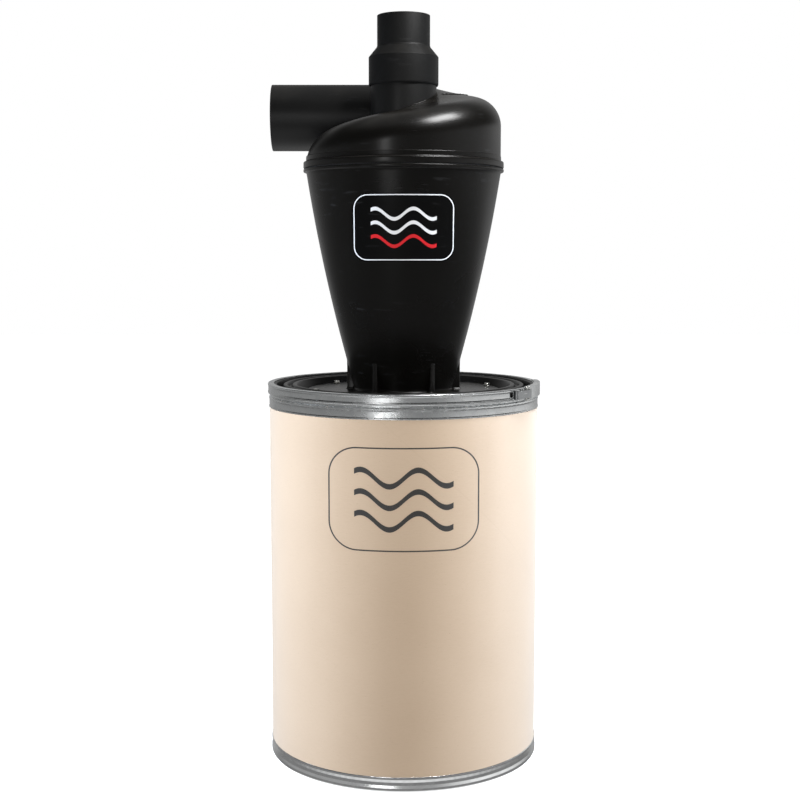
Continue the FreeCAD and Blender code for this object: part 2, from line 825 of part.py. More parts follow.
def bracket(label, angle, base_span, base_turn, ear_low, ear_high, ear_reach, bored):
    """A bent bracket on the lock ring: a foot along it and two ears that stand out."""
    body = new_body(label)
    sheet_steel = named("latch_steel")
    foot_in = band_outside + 0.05
    foot_out = band_outside + 1.0
    foot = rectangle(foot_in, foot_out, ear_low, ear_high)
    turned(body, "foot", foot, span=base_span, turn=base_turn)
    for name, low in (("lower_ear", ear_low), ("upper_ear", ear_high - sheet_steel)):
        ear = rectangle(foot_out - 0.5, pin_circle + ear_reach, low, low + sheet_steel)
        turned(body, name, ear, span=Size(2.4, "2.4"))
    if bored:
        hole = named("pin_size") + named("pin_play")
        post(body, "pin_hole", hole, pin_circle, ear_low - 5.0, ear_high - ear_low + 10.0, cut=True)
    swing(body, angle)
    return body


def pivot_bracket():
    low = band_middle - 6.4
    high = band_middle + 6.4
    span = Size(4.0, "4.0")
    turn = Size(-0.6, "-0.6")
    return bracket("pivot_bracket", named("pivot_angle"), span, turn, low, high, 2.6, True)


def catch_bracket():
    low = band_middle - 9.4
    high = band_middle + 9.4
    span = Size(3.0, "3.0")
    turn = Size(0.2, "0.2")
    return bracket("catch_bracket", named("catch_angle"), span, turn, low, high, 3.3, False)


def lever_faces():
    """Lowest and highest faces of the lever, whose flanges clear the lock ring."""
    low = band_low - named("band_play") - named("latch_steel")
    high = band_top + named("band_play") + named("latch_steel")
    return low, high


def lever():
    """A curved channel that folds flat over the lock ring, forked at its pivot."""
    body = new_body("lever")
    sheet_steel = named("latch_steel")
    low, high = lever_faces()
    web_in = band_outside + 0.6
    web_out = web_in + sheet_steel
    section = [
        (band_outside - 3.2, low),
        (web_out, low),
        (web_out, high),
        (band_outside - 9.4, high),
        (band_outside - 9.4, high - sheet_steel),
        (web_in, high - sheet_steel),
        (web_in, low + sheet_steel),
        (band_outside - 3.2, low + sheet_steel),
    ]
    pivot = named("pivot_angle")
    start = named("lever_start")
    end = named("lever_end")
    turned(body, "channel", section, span=end - start, turn=(start + end) / 2 - pivot)
    for name, face in (("lower_fork", low), ("upper_fork", high - sheet_steel)):
        plate = rectangle(web_in, pin_circle + 2.6, face, face + sheet_steel)
        first = pivot - 0.8
        last = start + 1.5
        turned(body, name, plate, span=last - first, turn=(first + last) / 2 - pivot)
    hole = named("pin_size") + named("pin_play")
    for name, turn in (("pivot_hole", Size(0, "0")), ("link_hole", named("link_angle") - pivot)):
        post(body, name, hole, pin_circle, low - 5.0, high - low + 10.0, turn, cut=True)
    swing(body, pivot)
    return body


def link():
    """A bowed strap with an eye at each end, from the lever to the catch pin."""
    body = new_body("link")
    catch = named("catch_angle")
    joint = named("link_angle")
    middle = (catch + joint) / 2
    half = named("link_half_height")
    low = band_middle - half
    strap_in = pin_circle + 3.0
    strap_out = strap_in + named("latch_steel") + 0.2
    strap = rectangle(strap_in, strap_out, low, low + half * 2)
    turned(body, "strap", strap, span=joint - catch + 0.8)
    eye = named("pin_stand_off") - 1.3
    hole = named("pin_size") + named("pin_play")
    for name, angle in (("catch_eye", catch), ("lever_eye", joint)):
        turn = angle - middle
        post(body, name, eye, pin_circle, low, half * 2, turn)
        post(body, name + "_hole", hole, pin_circle, low - 5.0, half * 2 + 10.0, turn, cut=True)
    swing(body, middle)
    return body


def latch_pin(label, angle, low, high, headed):
    """A pin along Z on the pin circle, with or without riveted heads."""
    body = new_body(label)
    size = named("pin_size")
    post(body, "shank", size, pin_circle, low, high - low)
    if headed:
        post(body, "lower_head", size + 1.0, pin_circle, low - 1.2, Size(1.2, "1.2"))
        post(body, "upper_head", size + 1.0, pin_circle, high, Size(1.2, "1.2"))
    swing(body, angle)
    return body


def latch_pins():
    low, high = lever_faces()
    half = named("link_half_height")
    pivot = named("pivot_angle")
    return [
        latch_pin("pivot_pin", pivot, low - 0.1, high + 0.1, True),
        latch_pin("link_pin", named("link_angle"), low - 0.1, high + 0.1, True),
        latch_pin("catch_pin", named("catch_angle"), band_middle - half - 0.3,
                  band_middle + half + 0.3, False),
    ]


parts = [
    drum_body(),
    drum_bottom(),
    bottom_chime(),
    top_chime(),
    lid_gasket(),
    lid(),
    base_gasket(),
    cyclone_cone(),
    joint_seal(),
    cyclone_head(),
    inlet_tube(),
    outlet_tube(),
    reducer(),
    cyclone_label(),
    band_half("ring_band_left", -1),
    band_half("ring_band_right", 1),
    pivot_bracket(),
    catch_bracket(),
    lever(),
    link(),
]
parts += latch_pins()
parts += fasteners()

doc.recompute()

failed = [item.Name for item in doc.Objects if "Invalid" in item.State or "Error" in item.State]
for item in parts:
    if item.Shape.isNull() or not item.Shape.isValid() or not item.Shape.Solids:
        failed.append(item.Label)
if failed:
    sys.exit("failed objects: " + ", ".join(failed))

os.makedirs("parts", exist_ok=True)
for item in parts:
    item.Shape.exportStep(os.path.join("parts", item.Label + ".step"))
    box = item.Shape.BoundBox
    print("%-16s %2d solid(s) %10.1f cm3  x %.1f..%.1f y %.1f..%.1f z %.1f..%.1f" % (
        item.Label, len(item.Shape.Solids), item.Shape.Volume / 1000,
        box.XMin, box.XMax, box.YMin, box.YMax, box.ZMin, box.ZMax))
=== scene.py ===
import bpy, bmesh, json, math
from mathutils import Matrix, Vector, noise


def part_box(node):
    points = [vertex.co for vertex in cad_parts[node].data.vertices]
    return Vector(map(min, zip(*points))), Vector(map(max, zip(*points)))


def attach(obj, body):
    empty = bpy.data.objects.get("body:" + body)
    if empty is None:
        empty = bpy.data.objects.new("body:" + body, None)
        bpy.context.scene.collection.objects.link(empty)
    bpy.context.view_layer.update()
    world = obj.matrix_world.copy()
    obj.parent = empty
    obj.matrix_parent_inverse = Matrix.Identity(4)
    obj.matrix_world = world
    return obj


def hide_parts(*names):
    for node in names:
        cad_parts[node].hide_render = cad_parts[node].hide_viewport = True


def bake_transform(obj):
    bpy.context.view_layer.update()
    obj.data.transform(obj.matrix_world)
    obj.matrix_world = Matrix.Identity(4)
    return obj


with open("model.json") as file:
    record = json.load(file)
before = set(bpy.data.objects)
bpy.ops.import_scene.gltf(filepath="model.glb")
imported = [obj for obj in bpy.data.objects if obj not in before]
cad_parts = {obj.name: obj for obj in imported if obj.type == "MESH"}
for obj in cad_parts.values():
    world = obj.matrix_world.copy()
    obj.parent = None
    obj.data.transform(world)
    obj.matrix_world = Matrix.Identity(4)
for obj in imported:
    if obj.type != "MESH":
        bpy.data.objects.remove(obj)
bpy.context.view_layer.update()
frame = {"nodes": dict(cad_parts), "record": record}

nodes = frame["nodes"]
print("frame loaded:", len(nodes), "nodes")

scene = bpy.context.scene


# small helpers for nodes and groups
def addNode(tree, kind, **values):
    node = tree.nodes.new(kind)
    for key, value in values.items():
        setattr(node, key, value)
    return node


def feed(tree, socket, value):
    # links a socket, or sets a plain value
    if isinstance(value, bpy.types.NodeSocket):
        tree.links.new(value, socket)
    else:
        socket.default_value = value


def calc(tree, operation, first, second=0.0, clamp=False):
    node = addNode(tree, "ShaderNodeMath", operation=operation, use_clamp=clamp)
    feed(tree, node.inputs[0], first)
    feed(tree, node.inputs[1], second)
    return node.outputs[0]


def mixColour(tree, amount, first, second):
    node = addNode(tree, "ShaderNodeMix", data_type="RGBA")
    feed(tree, node.inputs[0], amount)
    feed(tree, node.inputs[6], first)
    feed(tree, node.inputs[7], second)
    return node.outputs[2]


def stepUp(tree, value, low, high):
    # 0 below low, 1 above high, smooth between
    node = addNode(tree, "ShaderNodeMapRange", interpolation_type="SMOOTHSTEP")
    feed(tree, node.inputs["Value"], value)
    node.inputs["From Min"].default_value = low
    node.inputs["From Max"].default_value = high
    return node.outputs["Result"]


def newGroup(name, takes, gives):
    group = bpy.data.node_groups.new(name, "ShaderNodeTree")
    for socketName, kind, value in takes:
        socket = group.interface.new_socket(socketName, in_out="INPUT", socket_type=kind)
        if value is not None:
            socket.default_value = value
    for socketName, kind in gives:
        group.interface.new_socket(socketName, in_out="OUTPUT", socket_type=kind)
    return group, addNode(group, "NodeGroupInput").outputs, addNode(group, "NodeGroupOutput").inputs


def useGroup(tree, group, **values):
    node = addNode(tree, "ShaderNodeGroup", node_tree=group)
    for key, value in values.items():
        feed(tree, node.inputs[key.replace("_", " ")], value)
    return node.outputs


def noiseAt(tree, where, scale, detail=4.0, rough=0.55):
    node = addNode(tree, "ShaderNodeTexNoise")
    feed(tree, node.inputs["Vector"], where)
    feed(tree, node.inputs["Scale"], scale)
    node.inputs["Detail"].default_value = detail
    node.inputs["Roughness"].default_value = rough
    return node.outputs["Fac"]


def stretched(tree, where, x, y, z):
    node = addNode(tree, "ShaderNodeMapping")
    feed(tree, node.inputs["Vector"], where)
    node.inputs["Scale"].default_value = (x, y, z)
    return node.outputs[0]


# shared effects
floatSocket, vectorSocket = "NodeSocketFloat", "NodeSocketVector"

# mottle: slow and fine unevenness, as a value round 0.5
mottleGroup, given, out = newGroup(
    "mottle",
    [("Where", vectorSocket, None), ("Slow", floatSocket, 6.0), ("Fine", floatSocket, 220.0)],
    [("Cloud", floatSocket), ("Speckle", floatSocket)])
feed(mottleGroup, out["Cloud"], noiseAt(mottleGroup, given["Where"], given["Slow"], 3.0))
feed(mottleGroup, out["Speckle"], noiseAt(mottleGroup, given["Where"], given["Fine"], 5.0, 0.7))

# settledDust: more on faces that look up, broken up by noise
dustGroup, given, out = newGroup(
    "settledDust",
    [("Where", vectorSocket, None), ("Amount", floatSocket, 0.3)],
    [("Dust", floatSocket)])
facing = addNode(dustGroup, "ShaderNodeSeparateXYZ")
dustGroup.links.new(addNode(dustGroup, "ShaderNodeNewGeometry").outputs["Normal"], facing.inputs[0])
upward = stepUp(dustGroup, facing.outputs["Z"], 0.25, 1.0)
patches = stepUp(dustGroup, noiseAt(dustGroup, given["Where"], 14.0, 6.0), 0.38, 0.75)
dustAmount = calc(dustGroup, "MULTIPLY", calc(dustGroup, "MULTIPLY", upward, patches), given["Amount"])
feed(dustGroup, out["Dust"], dustAmount)

# scuffs: thin handling marks in one direction
scuffGroup, given, out = newGroup(
    "scuffs",
    [("Where", vectorSocket, None), ("Amount", floatSocket, 0.3)],
    [("Scuff", floatSocket)])
longMarks = noiseAt(scuffGroup, stretched(scuffGroup, given["Where"], 22.0, 22.0, 160.0), 1.0, 3.0, 0.5)
broken = stepUp(scuffGroup, noiseAt(scuffGroup, given["Where"], 9.0, 2.0), 0.45, 0.7)
thin = calc(scuffGroup, "MULTIPLY", stepUp(scuffGroup, longMarks, 0.62, 0.7), broken)
feed(scuffGroup, out["Scuff"], calc(scuffGroup, "MULTIPLY", thin, given["Amount"]))

# airflowMark: a rounded frame with three wavy lines, drawn on X and Z
waveShape = {"swell": 0.16, "bends": 8.2, "reach": 0.66, "line": 0.055, "rows": (0.42, 0.0, -0.42)}
markGroup, given, out = newGroup(
    "airflowMark",
    [("Where", vectorSocket, None), ("Half Width", floatSocket, 0.1), ("Half Height", floatSocket, 0.05),
     ("Corner", floatSocket, 0.02), ("Middle", floatSocket, 1.0), ("Line", floatSocket, 0.0015)],
    [("Border", floatSocket), ("Waves", floatSocket), ("Lowest Wave", floatSocket)])
axes = addNode(markGroup, "ShaderNodeSeparateXYZ")
feed(markGroup, axes.inputs[0], given["Where"])
height = calc(markGroup, "SUBTRACT", axes.outputs["Z"], given["Middle"])
halfX = calc(markGroup, "SUBTRACT", given["Half Width"], given["Corner"])
halfZ = calc(markGroup, "SUBTRACT", given["Half Height"], given["Corner"])
sideways = calc(markGroup, "ABSOLUTE", axes.outputs["X"])
overX = calc(markGroup, "MAXIMUM", calc(markGroup, "SUBTRACT", sideways, halfX))
overZ = calc(markGroup, "MAXIMUM", calc(markGroup, "SUBTRACT", calc(markGroup, "ABSOLUTE", height), halfZ))
overX2 = calc(markGroup, "MULTIPLY", overX, overX)
overZ2 = calc(markGroup, "MULTIPLY", overZ, overZ)
away = calc(markGroup, "SQRT", calc(markGroup, "ADD", overX2, overZ2))
away = calc(markGroup, "SUBTRACT", away, given["Corner"])
front = calc(markGroup, "LESS_THAN", axes.outputs["Y"], 0.0)
inside = calc(markGroup, "MULTIPLY", calc(markGroup, "LESS_THAN", away, 0.0), front)
onBorder = calc(markGroup, "LESS_THAN", calc(markGroup, "ABSOLUTE", away), given["Line"])
swell = calc(markGroup, "MULTIPLY", given["Half Height"], waveShape["swell"])
phase = calc(markGroup, "MULTIPLY", axes.outputs["X"], waveShape["bends"])
phase = calc(markGroup, "DIVIDE", phase, given["Half Width"])
curve = calc(markGroup, "MULTIPLY", calc(markGroup, "SINE", phase), swell)
waveEnd = calc(markGroup, "MULTIPLY", given["Half Width"], waveShape["reach"])
reach = calc(markGroup, "LESS_THAN", sideways, waveEnd)
halfLine = calc(markGroup, "MULTIPLY", given["Half Height"], waveShape["line"])
waves = None
for place in waveShape["rows"]:
    level = calc(markGroup, "SUBTRACT", height, calc(markGroup, "MULTIPLY", given["Half Height"], place))
    near = calc(markGroup, "ABSOLUTE", calc(markGroup, "SUBTRACT", level, curve))
    wave = calc(markGroup, "LESS_THAN", near, halfLine)
    wave = calc(markGroup, "MULTIPLY", wave, reach)
    waves = wave if waves is None else calc(markGroup, "MAXIMUM", waves, wave)
feed(markGroup, out["Border"], calc(markGroup, "MULTIPLY", onBorder, front))
feed(markGroup, out["Waves"], calc(markGroup, "MULTIPLY", waves, inside))
feed(markGroup, out["Lowest Wave"], calc(markGroup, "MULTIPLY", wave, inside))
print("shared effects built")


# materials
def newMaterial(name):
    material = bpy.data.materials.new(name)
    material.use_nodes = True
    tree = material.node_tree
    surface = tree.nodes["Principled BSDF"]
    where = addNode(tree, "ShaderNodeTexCoord").outputs["Object"]
    return material, tree, surface, where


def bumpFrom(tree, surface, height, strength, distance=0.001):
    bump = addNode(tree, "ShaderNodeBump")
    bump.inputs["Strength"].default_value = strength
    bump.inputs["Distance"].default_value = distance
    feed(tree, bump.inputs["Height"], height)
    tree.links.new(bump.outputs[0], surface.inputs["Normal"])


mouldingWear = {"scuffs": 0.16, "scuffTone": (0.045, 0.045, 0.047, 1), "dustTone": (0.20, 0.18, 0.15, 1)}


def moulding(name, dark, light, roughLow, roughHigh, grain, dust, gloss=0.22):
    material, tree, surface, where = newMaterial(name)
    mottle = useGroup(tree, mottleGroup, Where=where, Slow=5.0, Fine=260.0)
    scuff = useGroup(tree, scuffGroup, Where=where, Amount=mouldingWear["scuffs"])["Scuff"]
    settled = useGroup(tree, dustGroup, Where=where, Amount=dust)["Dust"]
    colour = mixColour(tree, mottle["Cloud"], dark, light)
    colour = mixColour(tree, scuff, colour, mouldingWear["scuffTone"])
    colour = mixColour(tree, settled, colour, mouldingWear["dustTone"])
    tree.links.new(colour, surface.inputs["Base Color"])
    rough = addNode(tree, "ShaderNodeMapRange")
    tree.links.new(mottle["Cloud"], rough.inputs["Value"])
    rough.inputs["From Min"].default_value = 0.3
    rough.inputs["From Max"].default_value = 0.7
    rough.inputs["To Min"].default_value = roughLow
    rough.inputs["To Max"].default_value = roughHigh
    roughness = calc(tree, "ADD", rough.outputs[0], calc(tree, "MULTIPLY", settled, 0.5), clamp=True)
    roughness = calc(tree, "ADD", roughness, calc(tree, "MULTIPLY", scuff, 0.2), clamp=True)
    tree.links.new(roughness, surface.inputs["Roughness"])
    surface.inputs["Specular IOR Level"].default_value = gloss
    bumpFrom(tree, surface, mottle["Speckle"], grain, 0.0006)
    return material


shellBlack = moulding("satinBlackMoulding", (0.0015, 0.0013, 0.0010, 1), (0.0028, 0.0025, 0.0021, 1),
                      roughLow=0.24, roughHigh=0.31, grain=0.06, dust=0.04)
tubeBlack = moulding("tubeBlackPlastic", (0.0019, 0.0019, 0.0018, 1), (0.0036, 0.0035, 0.0034, 1),
                     roughLow=0.36, roughHigh=0.46, grain=0.18, dust=0.05, gloss=0.24)
reducerBlack = moulding("mattBlackPlastic", (0.0022, 0.0022, 0.0021, 1), (0.0042, 0.0041, 0.0040, 1),
                        roughLow=0.46, roughHigh=0.58, grain=0.35, dust=0.05, gloss=0.14)
lidBlack = moulding("lidBlackMoulding", (0.0030, 0.0028, 0.0026, 1), (0.0056, 0.0053, 0.0050, 1),
                    roughLow=0.28, roughHigh=0.38, grain=0.12, dust=0.05)
sealRubber = moulding("sealRubber", (0.008, 0.008, 0.008, 1), (0.016, 0.016, 0.016, 1),
                      roughLow=0.7, roughHigh=0.85, grain=0.6, dust=0.1)


paperLook = {
    "dark": (0.44, 0.318, 0.213, 1), "light": (0.51, 0.380, 0.264, 1), "fibre": (0.62, 0.48, 0.34, 1),
    "fleck": (0.26, 0.17, 0.10, 1), "speckle": (0.33, 0.235, 0.155, 1), "seam": (0.24, 0.16, 0.10, 1),
    "ink": (0.012, 0.011, 0.010, 1), "climb": 1.45, "printedBeyond": 0.2565}


def kraftPaper(name, mark=None):
    material, tree, surface, where = newMaterial(name)
    mottle = useGroup(tree, mottleGroup, Where=where, Slow=7.0, Fine=420.0)
    fibres = noiseAt(tree, stretched(tree, where, 90.0, 90.0, 700.0), 1.0, 4.0, 0.6)
    flecks = stepUp(tree, noiseAt(tree, stretched(tree, where, 260.0, 260.0, 900.0), 1.0, 2.0), 0.66, 0.74)
    colour = mixColour(tree, mottle["Cloud"], paperLook["dark"], paperLook["light"])
    colour = mixColour(tree, calc(tree, "MULTIPLY", fibres, 0.35), colour, paperLook["fibre"])
    colour = mixColour(tree, calc(tree, "MULTIPLY", flecks, 0.32), colour, paperLook["fleck"])
    speckle = calc(tree, "MULTIPLY", stepUp(tree, mottle["Speckle"], 0.55, 0.85), 0.22)
    colour = mixColour(tree, speckle, colour, paperLook["speckle"])
    # hairline of the wound paper's edge, which climbs round the drum
    parts = addNode(tree, "ShaderNodeSeparateXYZ")
    tree.links.new(where, parts.inputs[0])
    turn = calc(tree, "ARCTAN2", parts.outputs["Y"], parts.outputs["X"])
    rise = calc(tree, "DIVIDE", parts.outputs["Z"], paperLook["climb"])
    climb = calc(tree, "ADD", calc(tree, "DIVIDE", turn, math.tau), rise)
    lap = calc(tree, "FRACT", calc(tree, "ADD", climb, 0.31))
    seam = calc(tree, "ABSOLUTE", calc(tree, "SUBTRACT", lap, 0.5))
    seamLine = calc(tree, "SUBTRACT", 1.0, stepUp(tree, seam, 0.0004, 0.0016))
    colour = mixColour(tree, calc(tree, "MULTIPLY", seamLine, 0.05), colour, paperLook["seam"])
    if mark:
        marks = useGroup(tree, markGroup, Where=where, **mark)
        ink = calc(tree, "MAXIMUM", marks["Border"], marks["Waves"])
        # printed on the outside only
        across = addNode(tree, "ShaderNodeVectorMath", operation="LENGTH")
        feed(tree, across.inputs[0], stretched(tree, where, 1.0, 1.0, 0.0))
        outside = calc(tree, "GREATER_THAN", across.outputs["Value"], paperLook["printedBeyond"])
        ink = calc(tree, "MULTIPLY", ink, outside)
        gaps = calc(tree, "MULTIPLY", stepUp(tree, mottle["Speckle"], 0.55, 0.8), 0.14)
        ink = calc(tree, "MULTIPLY", ink, calc(tree, "SUBTRACT", 0.99, gaps))
        colour = mixColour(tree, ink, colour, paperLook["ink"])
    tree.links.new(colour, surface.inputs["Base Color"])
    rough = calc(tree, "ADD", 0.42, calc(tree, "MULTIPLY", mottle["Cloud"], 0.14))
    tree.links.new(rough, surface.inputs["Roughness"])
    surface.inputs["Specular IOR Level"].default_value = 0.55
    surface.inputs["Sheen Weight"].default_value = 0.6
    surface.inputs["Sheen Roughness"].default_value = 0.5
    height = calc(tree, "ADD", calc(tree, "MULTIPLY", fibres, 0.6), calc(tree, "MULTIPLY", seamLine, -0.3))
    bumpFrom(tree, surface, height, 0.16, 0.0006)
    return material


drumMark = {"Half_Width": 0.134, "Half_Height": 0.092, "Corner": 0.050, "Middle": 0.535, "Line": 0.0013}
kraft = kraftPaper("woundKraft", drumMark)
kraftPlain = kraftPaper("plainKraft")


def zincSheet(name, tint, deep, roughLow, roughHigh, spangle):
    material, tree, surface, where = newMaterial(name)
    crystals = addNode(tree, "ShaderNodeTexVoronoi")
    feed(tree, crystals.inputs["Vector"], where)
    crystals.inputs["Scale"].default_value = spangle
    tone = addNode(tree, "ShaderNodeSeparateColor")
    tree.links.new(crystals.outputs["Color"], tone.inputs[0])
    mottle = useGroup(tree, mottleGroup, Where=where, Slow=18.0, Fine=500.0)
    scuff = useGroup(tree, scuffGroup, Where=where, Amount=0.7)["Scuff"]
    settled = useGroup(tree, dustGroup, Where=where, Amount=0.25)["Dust"]
    crystal = calc(tree, "MULTIPLY", tone.outputs[0], 0.45)
    amount = calc(tree, "ADD", crystal, calc(tree, "MULTIPLY", mottle["Cloud"], 0.6))
    colour = mixColour(tree, amount, deep, tint)
    colour = mixColour(tree, scuff, colour, (0.80, 0.80, 0.79, 1))
    colour = mixColour(tree, settled, colour, (0.36, 0.32, 0.26, 1))
    tree.links.new(colour, surface.inputs["Base Color"])
    tree.links.new(calc(tree, "SUBTRACT", 1.0, settled), surface.inputs["Metallic"])
    span = roughHigh - roughLow
    rough = calc(tree, "ADD", roughLow, calc(tree, "MULTIPLY", tone.outputs[1], span))
    rough = calc(tree, "ADD", rough, calc(tree, "MULTIPLY", settled, 0.4), clamp=True)
    tree.links.new(rough, surface.inputs["Roughness"])
    height = calc(tree, "ADD", mottle["Speckle"], calc(tree, "MULTIPLY", mottle["Cloud"], 2.0))
    bumpFrom(tree, surface, height, 0.12, 0.0005)
    return material


galvanised = zincSheet("galvanisedSheet", tint=(0.72, 0.735, 0.735, 1), deep=(0.60, 0.615, 0.62, 1),
                       roughLow=0.22, roughHigh=0.30, spangle=75.0)
# lighter copy of the galvanised sheet for the foot chime: its extra brightness is painted reflection of the
# pale floor
paintedReflectionZinc = zincSheet("brightZincSheet", tint=(0.93, 0.94, 0.94, 1), deep=(0.84, 0.85, 0.855, 1),
                       roughLow=0.17, roughHigh=0.25, spangle=75.0)
# darker copy of the galvanised sheet for the latch link: its darkness is painted shade
paintedShadeZinc = zincSheet("wornZincStrap", tint=(0.40, 0.41, 0.415, 1), deep=(0.28, 0.29, 0.295, 1),
                     roughLow=0.22, roughHigh=0.32, spangle=75.0)
zincPlate = zincSheet("zincPlate", tint=(0.70, 0.69, 0.64, 1), deep=(0.50, 0.50, 0.47, 1),
                      roughLow=0.22, roughHigh=0.34, spangle=240.0)

# printed plate on the cone
plateMark = {"Half_Width": 0.0900, "Half_Height": 0.0580, "Corner": 0.024, "Middle": 1.015, "Line": 0.0009}
platePrint, tree, surface, where = newMaterial("printedPlate")
marks = useGroup(tree, markGroup, Where=where, **plateMark)
mottle = useGroup(tree, mottleGroup, Where=where, Slow=8.0, Fine=300.0)
scuff = useGroup(tree, scuffGroup, Where=where, Amount=0.08)["Scuff"]
colour = mixColour(tree, mottle["Cloud"], (0.0008, 0.0008, 0.0008, 1), (0.0016, 0.0016, 0.0016, 1))
colour = mixColour(tree, marks["Waves"], colour, (0.62, 0.62, 0.62, 1))
colour = mixColour(tree, marks["Lowest Wave"], colour, (0.50, 0.018, 0.022, 1))
colour = mixColour(tree, marks["Border"], colour, (0.66, 0.67, 0.68, 1))
colour = mixColour(tree, scuff, colour, (0.10, 0.10, 0.10, 1))
tree.links.new(colour, surface.inputs["Base Color"])
plateRough = calc(tree, "ADD", 0.30, calc(tree, "MULTIPLY", mottle["Cloud"], 0.18))
tree.links.new(plateRough, surface.inputs["Roughness"])
surface.inputs["Specular IOR Level"].default_value = 0.12
bumpFrom(tree, surface, mottle["Speckle"], 0.05, 0.0004)

slotMaterials = {
    "kraft_fibre": kraftPlain, "galvanised_steel": galvanised, "zinc_plated_steel": zincPlate,
    "black_moulding": shellBlack, "black_rubbery_plastic": reducerBlack, "seal_rubber": sealRubber,
    "label_plate": platePrint}
slotOf = {part["node"]: part["material_slot"] for part in frame["record"]["subparts"]}
for nodeName, nodeObject in nodes.items():
    nodeObject.data.materials.clear()
    nodeObject.data.materials.append(slotMaterials[slotOf[nodeName]])
print("materials built")


# shape helpers
def smoothMesh(mesh, angle=34.0):
    mesh.polygons.foreach_set("use_smooth", [True] * len(mesh.polygons))
    mesh.set_sharp_from_angle(angle=math.radians(angle))
    mesh.update()


def newPiece(name, bm, material, angle=34.0, recalc=True):
    if recalc:
        bmesh.ops.recalc_face_normals(bm, faces=bm.faces)
    mesh = bpy.data.meshes.new(name)
    bm.to_mesh(mesh)
    bm.free()
    mesh.materials.append(material)
    smoothMesh(mesh, angle)
    piece = bpy.data.objects.new(name, mesh)
    scene.collection.objects.link(piece)
    return piece


def settle(piece, body, slotName, *replaced):
    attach(piece, body)
    if replaced:
        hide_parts(*replaced)


def roundCorners(points, steps=4):
    # each corner is (radius from axis, height, rounding)
    smooth = []
    count = len(points)
    for i in range(count):
        here = Vector(points[i][:2])
        bend = points[i][2] if len(points[i]) > 2 else 0.0
        if bend <= 0:
            smooth.append(tuple(here))
            continue
        back = Vector(points[i - 1][:2]) - here
        ahead = Vector(points[(i + 1) % count][:2]) - here
        inner = back.angle(ahead)
        cut = min(bend / math.tan(inner / 2), back.length * 0.48, ahead.length * 0.48)
        start = here + back.normalized() * cut
        end = here + ahead.normalized() * cut
        for k in range(steps + 1):
            t = k / steps
            smooth.append(tuple(start * (1 - t) ** 2 + here * 2 * t * (1 - t) + end * t ** 2))
    return smooth


def lathe(profile, segments=160, start=0.0, sweep=360.0, shift=None):
    # profile is a closed loop of (radius, height); angles from the front towards +X
    bm = bmesh.new()
    whole = abs(sweep - 360.0) < 1e-6
    rings = []
    for i in range(segments if whole else segments + 1):
        angle = math.radians(start + sweep * i / segments)
        ring = []
        for r, z in profile:
            dr, dz = shift(r, z, angle) if shift else (0.0, 0.0)
            ring.append(bm.verts.new(((r + dr) * math.sin(angle), -(r + dr) * math.cos(angle), z + dz)))
        rings.append(ring)
    count = len(profile)
    for i in range(segments):
        here, there = rings[i], rings[(i + 1) % len(rings)]
        for k in range(count):
            n = (k + 1) % count
            bm.faces.new((here[k], here[n], there[n], there[k]))
    if not whole:
        bm.faces.new(rings[0])
        bm.faces.new(rings[-1])
    return bm


def smoothCopy(nodeName, name, material, merge=0.00002, angle=34.0, tidy=0.0):
    # the CAD part's own shape, with shared edges so that it can be shaded smooth
    bm = bmesh.new()
    bm.from_mesh(nodes[nodeName].data)
    bmesh.ops.remove_doubles(bm, verts=bm.verts, dist=merge)
    if tidy:
        bmesh.ops.dissolve_limit(bm, angle_limit=math.radians(tidy), verts=bm.verts, edges=bm.edges)
    return newPiece(name, bm, material, angle, recalc=False)


def softenEdges(piece, width, segments=2, angle=40.0):
    bevel = piece.modifiers.new("softEdges", "BEVEL")
    bevel.width = width
    bevel.segments = segments
    bevel.limit_method = "ANGLE"
    bevel.angle_limit = math.radians(angle)
    bevel.harden_normals = True


def baked(piece):
    # the evaluated shape as a plain mesh, modifiers gone
    deps = bpy.context.evaluated_depsgraph_get()
    mesh = bpy.data.meshes.new_from_object(piece.evaluated_get(deps))
    piece.modifiers.clear()
    old = piece.data
    piece.data = mesh
    mesh.name = piece.name
    bpy.data.meshes.remove(old)
    return piece


def carve(piece, cutter, angle):
    # takes the cutter's shape out of the piece
    cut = piece.modifiers.new("opening", "BOOLEAN")
    cut.object = cutter
    cut.solver = "EXACT"
    baked(piece)
    bpy.data.objects.remove(cutter)
    smoothMesh(piece.data, angle)


# drum
drumSizes = {"radius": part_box("drum_body")[1][0], "wall": 0.0045, "dent": 0.00022,
             "low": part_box("drum_body")[0][2], "high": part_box("drum_body")[1][2], "bands": 36}


def buildDrum(s):
    inner = s["radius"] - s["wall"]
    levels = [s["low"] + (s["high"] - s["low"]) * i / s["bands"] for i in range(s["bands"] + 1)]
    profile = [(s["radius"], z) for z in levels] + [(inner, z) for z in reversed(levels)]

    def dents(r, z, angle):
        spot = Vector((math.sin(angle) * 1.7, math.cos(angle) * 1.7, z * 3.1))
        edge = min(1.0, (s["high"] - z) / 0.05, (z - s["low"]) / 0.05)
        return (noise.noise(spot * 2.0) - 0.25) * s["dent"] * max(edge, 0.0), 0.0

    wall = newPiece("kraftWall", lathe(profile, 224, shift=dents), kraft, 50.0)
    settle(wall, "drum", "kraft_fibre", "drum_body")


buildDrum(drumSizes)
disc = smoothCopy("drum_bottom", "kraftDisc", kraftPlain)
settle(disc, "drum", "kraft_fibre", "drum_bottom")
print("drum wall built")

# chimes
chimeSizes = {"skirt": 0.2596, "inside": 0.2586, "lining": 0.2538, "liningIn": 0.2528,
              "crimpCount": 120, "crimpDepth": 0.00030}


